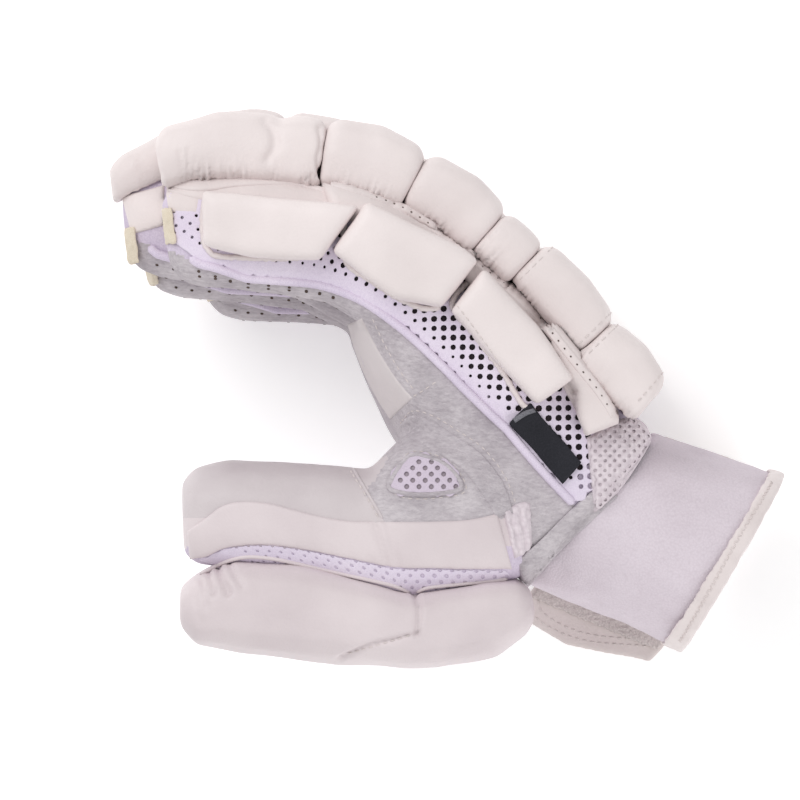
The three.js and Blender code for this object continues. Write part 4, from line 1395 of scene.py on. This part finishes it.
class OBJECT_OT_wrist(bpy.types.Operator):
    """Make the cuff with its binding, the strap and the mesh collar"""

    bl_idname = "object.wrist"
    bl_label = "Cuff and strap"

    def execute(self, context):
        cuff = soft_copy("towelling_cuff", ["cuff"], "towelling", voxel=1.3, rounds=16, swell=0.15)
        slacken(cuff, depth=1.1, size=24, seed=31)
        slacken(cuff, depth=0.4, size=7, seed=32)
        dress(cuff, "towelling", "cuff")
        shape = {"voxel": 0.7, "rounds": 8, "swell": 0.2}
        binding = soft_copy("cuff_binding_tape", ["cuff_binding"], "leather", **shape)
        slacken(binding, depth=0.4, size=5, seed=33)
        dress(binding, "ivory_leather", "cuff_binding")
        strap = soft_copy("strap_leather", ["strap"], "strap_leather", voxel=0.7, rounds=4, swell=0.05)
        slacken(strap, depth=0.5, size=14, seed=34)
        dress(strap, "ivory_leather", "strap")
        hook = soft_copy("strap_hook_tape", ["strap_hook"], "hook", voxel=0.5, rounds=1, swell=0.05)
        slacken(hook, depth=0.5, size=0.9, seed=35)
        dress(hook, "hook_tape", "strap_hook")

        around = surface_of("hand_knit", "palm_skin", "towelling_cuff", kind=Drape)
        panel(
            "palm_cuff_hem",
            "grey_suede",
            around,
            [(52.0, -32.4), (45.8, -36.9), (37.7, -44.7), (29.9, -52.5), (20.0, -60.3)],
            [(57.4, -36.5), (51.3, -42.6), (43.8, -49.4), (36.3, -56.9), (26.8, -68.5)],
            "suede",
            lift=0.45,
            edge=0.9,
            spacing=1.2,
        )

        def pucker(along, across, share, over):
            return 0.6 * noise.noise(Vector((along / 4, across / 6, 9)))

        panel(
            "wrist_collar_mesh",
            "lilac_mesh",
            around,
            [(46.5, -16.8), (51.3, -13.7), (57.4, -10.7), (62.5, -9.7), (66.9, -12.0), (69.3, -16.5)],
            [(49.2, -42.6), (54.0, -38.9), (58.4, -34.1), (62.8, -28.0), (66.6, -22.2), (69.0, -18.2)],
            "pink_mesh",
            lift=1.6,
            edge=2.4,
            spacing=0.8,
            shape=pucker,
        )
        under = surface_of("wrist_collar_mesh")
        low, high = (45.8, -43.0), (69.6, -9.3)

        def opening(a, b):
            return 0.45 if under.lay((a, b), 0) is not None else None

        def place(a, b, lift):
            return under.lay((a, b), 0.2 + lift)

        region = (low[0], high[0], low[1], high[1])
        net("wrist_collar_net", region, place, 2.3, opening, "pink_mesh", thickness=0.35)
        return {"FINISHED"}


class OBJECT_OT_trims(bpy.types.Operator):
    """Make the pipings, tapes and label"""

    bl_idname = "object.glove_trims"
    bl_label = "Trims"

    def execute(self, context):
        for finger in FINGERS:
            self.piping(finger)
            node = f"{finger}_tip_tape"
            tape = soft_copy(f"{finger}_tape", [node], "tape", voxel=0.5, rounds=3, swell=0.25)
            self.narrow(tape, SPINES[finger])
            slacken(tape, depth=0.4, size=2.5, seed=41)
            dress(tape, "beige_tape", node)
        label = soft_copy("woven_label", ["label_tab"], "label", voxel=0.4, rounds=2, swell=0.05)
        slacken(label, depth=0.5, size=9, seed=42)
        place_vertices(label, coordinates(label) + np.array((0, 0, 1.3)))
        dress(label, "black_weave", "label_tab")
        panel(
            "label_fold",
            "black_weave",
            surface_of("woven_label", "hand_knit"),
            [(21.4, -10.3), (25.4, -7.6), (28.5, -6.6)],
            [(22.4, -11.7), (26.1, -9.3), (29.5, -8.0)],
            "label_edge",
            lift=0.5,
            edge=0.4,
            spacing=0.6,
        )
        return {"FINISHED"}

    def narrow(self, tape, spine):
        """Pulls a tape together along the finger, to the width of the sewn fold."""
        points = coordinates(tape)
        along = Vector(spine.towards(spine.start)).to_3d().normalized()
        shares = (points - points.mean(axis=0)) @ np.array(along)
        place_vertices(tape, points - np.outer(shares * 0.45, along))

    def piping(self, finger):
        spine = SPINES[finger]
        end = 0.978 if finger == "index" else 0.31
        path = []
        for i in range(60):
            share = mix(spine.start + 0.036, end, i / 59)
            height = spine.seam(share)
            z = side_place(finger, share, height, 1)
            path.append((*spine.above(share, height), z + 0.9))

        def cloth_wrap(along, angle):
            return 1 + 0.03 * math.sin(along * 2.2 + 3 * angle)

        cord(
            f"{finger}_piping_tape",
            "lilac_binding",
            path,
            "binding",
            radius=1.55,
            nodes=[f"{finger}_piping"],
            spacing=0.9,
            twist=cloth_wrap,
            sides=10,
        )


class OBJECT_OT_stitches(bpy.types.Operator):
    """Sew the glove: rows of stitches along its seams"""

    bl_idname = "object.stitches"
    bl_label = "Stitches"

    def execute(self, context):
        length = context.scene.glove_sizes.stitch / MM
        pale = bmesh.new()
        guards = [f"index_{place}_guard_pad" for place in GUARDS]
        side = surface_of(*guards, "hand_knit")
        for knots in (
            [(-84.0, 65.1), (-83.7, 55.6), (-82.7, 47.8), (-80.0, 46.1)],
            [(-33.7, 41.0), (-26.2, 35.9), (-16.7, 29.8), (-3.1, 27.1)],
            [(2.0, 28.8), (8.8, 19.9), (17.3, 8.0), (26.5, -5.9)],
        ):
            sew(pale, laid_path(side, knots, spacing=1.0, lift=0.1), length, radius=0.28)
        skin = surface_of("palm_skin", "palm_overlay", "palm_edge_band")
        for knots in (
            [
                (-16.7, -12.0), (-12.6, -7.6), (-5.5, -9.3), (3.0, -14.4), (11.8, -20.5),
                (19.7, -31.4), (23.7, -44.7), (24.1, -54.2),
            ],
            [
                (-21.5, -33.8), (-18.4, -27.3), (-13.3, -21.6), (-5.8, -22.2), (1.3, -26.0),
                (5.7, -34.5), (-2.8, -36.9), (-15.4, -36.9), (-21.5, -33.8),
            ],
            [(-26.2, 24.0), (-22.2, 15.5), (-17.4, 7.0), (-12.0, -0.5)],
            [(-12.6, -2.9), (-8.6, -0.5), (-4.1, 2.6)],
        ):
            sew(pale, laid_path(skin, knots, spacing=1.0, lift=0.05), length, radius=0.24)
        thumb = surface_of("thumb_patch", "palm_skin", "thumb_leather_strip", "thumb_roll_pads")
        for knots in (
            [(-33.7, -27.7), (-28.6, -35.8), (-23.9, -44.0)],
            [(-34.7, -89.9), (-26.2, -87.5), (-18.4, -85.1), (-13.0, -83.4)],
        ):
            sew(pale, laid_path(thumb, knots, spacing=1.0, lift=0.1), length, radius=0.28)
        wrist = surface_of("strap_leather", "cuff_binding_tape", "towelling_cuff")
        for knots in (
            [(27.8, -70.9), (29.9, -78.7), (44.5, -86.8), (69.6, -89.6)],
            [(31.2, -72.9), (32.6, -77.3), (45.5, -84.5), (69.0, -87.5)],
        ):
            sew(pale, laid_path(wrist, knots, spacing=1.0, lift=0.1), length, radius=0.3)
        sew(pale, laid_path(wrist, [
            (110.4, -31.8), (99.6, -48.8), (88.7, -68.1), (78.8, -86.5),
        ], spacing=1.0, lift=0.1), 1.2, radius=0.26, gap=0.2, sway=0.5)
        for finger in FINGERS:
            for row, ends in (("back", (0.612, 0.795)), ("wrist", (0.795, 0.955))):
                self.across(pale, finger, row, ends, length)
        thread = mesh_object("white_stitches", pale, material("thread"))
        dress(thread, "ivory_leather")
        # Dark beads sunk along the leather seams: painted shade of the needle holes.
        dark = bmesh.new()
        seam = surface_of("sewn_leather_seam", "sewn_wrist_seam")
        for knots in (
            [(-26.2, 65.5), (-18.8, 62.8), (-13.0, 60.0), (4.4, 47.8), (11.5, 41.3), (20.7, 34.2)],
            [(30.2, 25.0), (37.7, 15.2), (44.8, 6.3), (49.9, 0.2), (54.3, -6.6)],
        ):
            sew(dark, laid_path(seam, knots, spacing=1.0, lift=-0.12), 3.4, radius=0.34, gap=0.76)
        pulled = mesh_object("needle_hole_shades", dark, material("hole_shade"))
        dress(pulled, "ivory_leather")
        return {"FINISHED"}

    def across(self, bm, finger, row, ends, length):
        """Rows of stitches over a roll, beside its two ends."""
        spine = SPINES[finger]
        pad = surface_of(f"{finger}_{row}_roll_pad")
        for share in (ends[0] + 0.012, ends[1] - 0.014):
            path = []
            for i in range(21):
                across = mix(-10.5, 10.5, i / 20)
                flat = spine.above(share, OVER_PADS)
                down = spine.above(share, 0) - flat
                found = pad.meet((*flat, spine.place + across), (*down, 0))
                if found:
                    path.append(tuple(found[0] + found[1] * 0.1))
            sew(bm, path, length, radius=0.26)
            if finger == "index":
                flats = [spine.above(share, height) for height in np.linspace(21, 33, 12)]
                side = [pad.lay(flat, 0.1) for flat in flats]
                sew(bm, [tuple(point) for point in side if point is not None], length, radius=0.26)


class OBJECT_OT_glove_stage(bpy.types.Operator):
    """Make the floor, the lights and the camera"""

    bl_idname = "object.glove_stage"
    bl_label = "Stage"

    def execute(self, context):
        scene = context.scene
        floor_mesh = bmesh.new()
        bmesh.ops.create_grid(floor_mesh, x_segments=1, y_segments=1, size=FLOOR_REACH)
        paper, _, shader, _ = new_material("white_paper_floor", "#FFFFFF", 0.95)
        shader.inputs["Emission Color"].default_value = (1, 1, 1, 1)
        shader.inputs["Emission Strength"].default_value = 0.25
        floor = mesh_object("floor", floor_mesh, paper)
        world = bpy.data.worlds.new("soft_white_studio")
        world.use_nodes = True
        world.node_tree.nodes["Background"].inputs["Color"].default_value = (1, 1, 1, 1)
        world.node_tree.nodes["Background"].inputs["Strength"].default_value = 0.6
        scene.world = world
        lights = (
            ("key", (-0.5, 0.5, 0.8), 0.6, 4.6),
            ("fill", (0.5, -0.6, 0.6), 0.8, 3.0),
        )
        for name, place, size, power in lights:
            lamp = bpy.data.lights.new(name, "AREA")
            lamp.size = size
            lamp.energy = power
            light = bpy.data.objects.new(name, lamp)
            light.location = place
            aim = Vector((0, 0, GLOVE_MIDDLE)) - Vector(place)
            light.rotation_euler = aim.to_track_quat("-Z", "Y").to_euler()
            scene.collection.objects.link(light)
        lens = bpy.data.cameras.new("camera")
        lens.sensor_width = SENSOR
        lens.lens = SENSOR * CAMERA_DISTANCE / PHOTO_WIDTH
        lens.clip_end = 20
        camera = bpy.data.objects.new("camera", lens)
        camera.location = (*PHOTO_MIDDLE, PHOTO_HEIGHT + CAMERA_DISTANCE)
        scene.collection.objects.link(camera)
        scene.camera = camera
        scene.view_settings.view_transform = "Standard"
        scene.view_settings.look = "None"
        return {"FINISHED"}


class VIEW3D_PT_glove(bpy.types.Panel):
    """The glove's pieces and sizes"""

    bl_label = "Cricket batting glove"
    bl_idname = "VIEW3D_PT_glove"
    bl_space_type = "VIEW_3D"
    bl_region_type = "UI"
    bl_category = "Glove"

    def draw(self, context):
        sizes = context.scene.glove_sizes
        for size in ("gathers", "stitch", "net_pitch"):
            self.layout.prop(sizes, size)
        for operator in OPERATORS:
            self.layout.operator(operator.bl_idname)


OPERATORS = (
    OBJECT_OT_glove_stage,
    OBJECT_OT_hand_shell,
    OBJECT_OT_thumb_rolls,
    OBJECT_OT_finger_rolls,
    OBJECT_OT_side_guards,
    OBJECT_OT_side_nets,
    OBJECT_OT_side_leather,
    OBJECT_OT_palm_panels,
    OBJECT_OT_thumb_panels,
    OBJECT_OT_wrist,
    OBJECT_OT_trims,
    OBJECT_OT_stitches,
)
CLASSES = (GloveSizes, *OPERATORS, VIEW3D_PT_glove)


def register():
    for kind in CLASSES:
        bpy.utils.register_class(kind)
    bpy.types.Scene.glove_sizes = PointerProperty(type=GloveSizes)


def unregister():
    del bpy.types.Scene.glove_sizes
    for kind in reversed(CLASSES):
        bpy.utils.unregister_class(kind)


def main():
    register()
    bpy.ops.object.glove_stage()
    bpy.ops.object.hand_shell()
    bpy.ops.object.thumb_rolls()
    bpy.ops.object.finger_rolls()
    bpy.ops.object.side_guards()
    bpy.ops.object.side_nets()
    bpy.ops.object.side_leather()
    bpy.ops.object.palm_panels()
    bpy.ops.object.thumb_panels()
    bpy.ops.object.wrist()
    bpy.ops.object.glove_trims()
    bpy.ops.object.stitches()


if __name__ == "__main__":
    main()
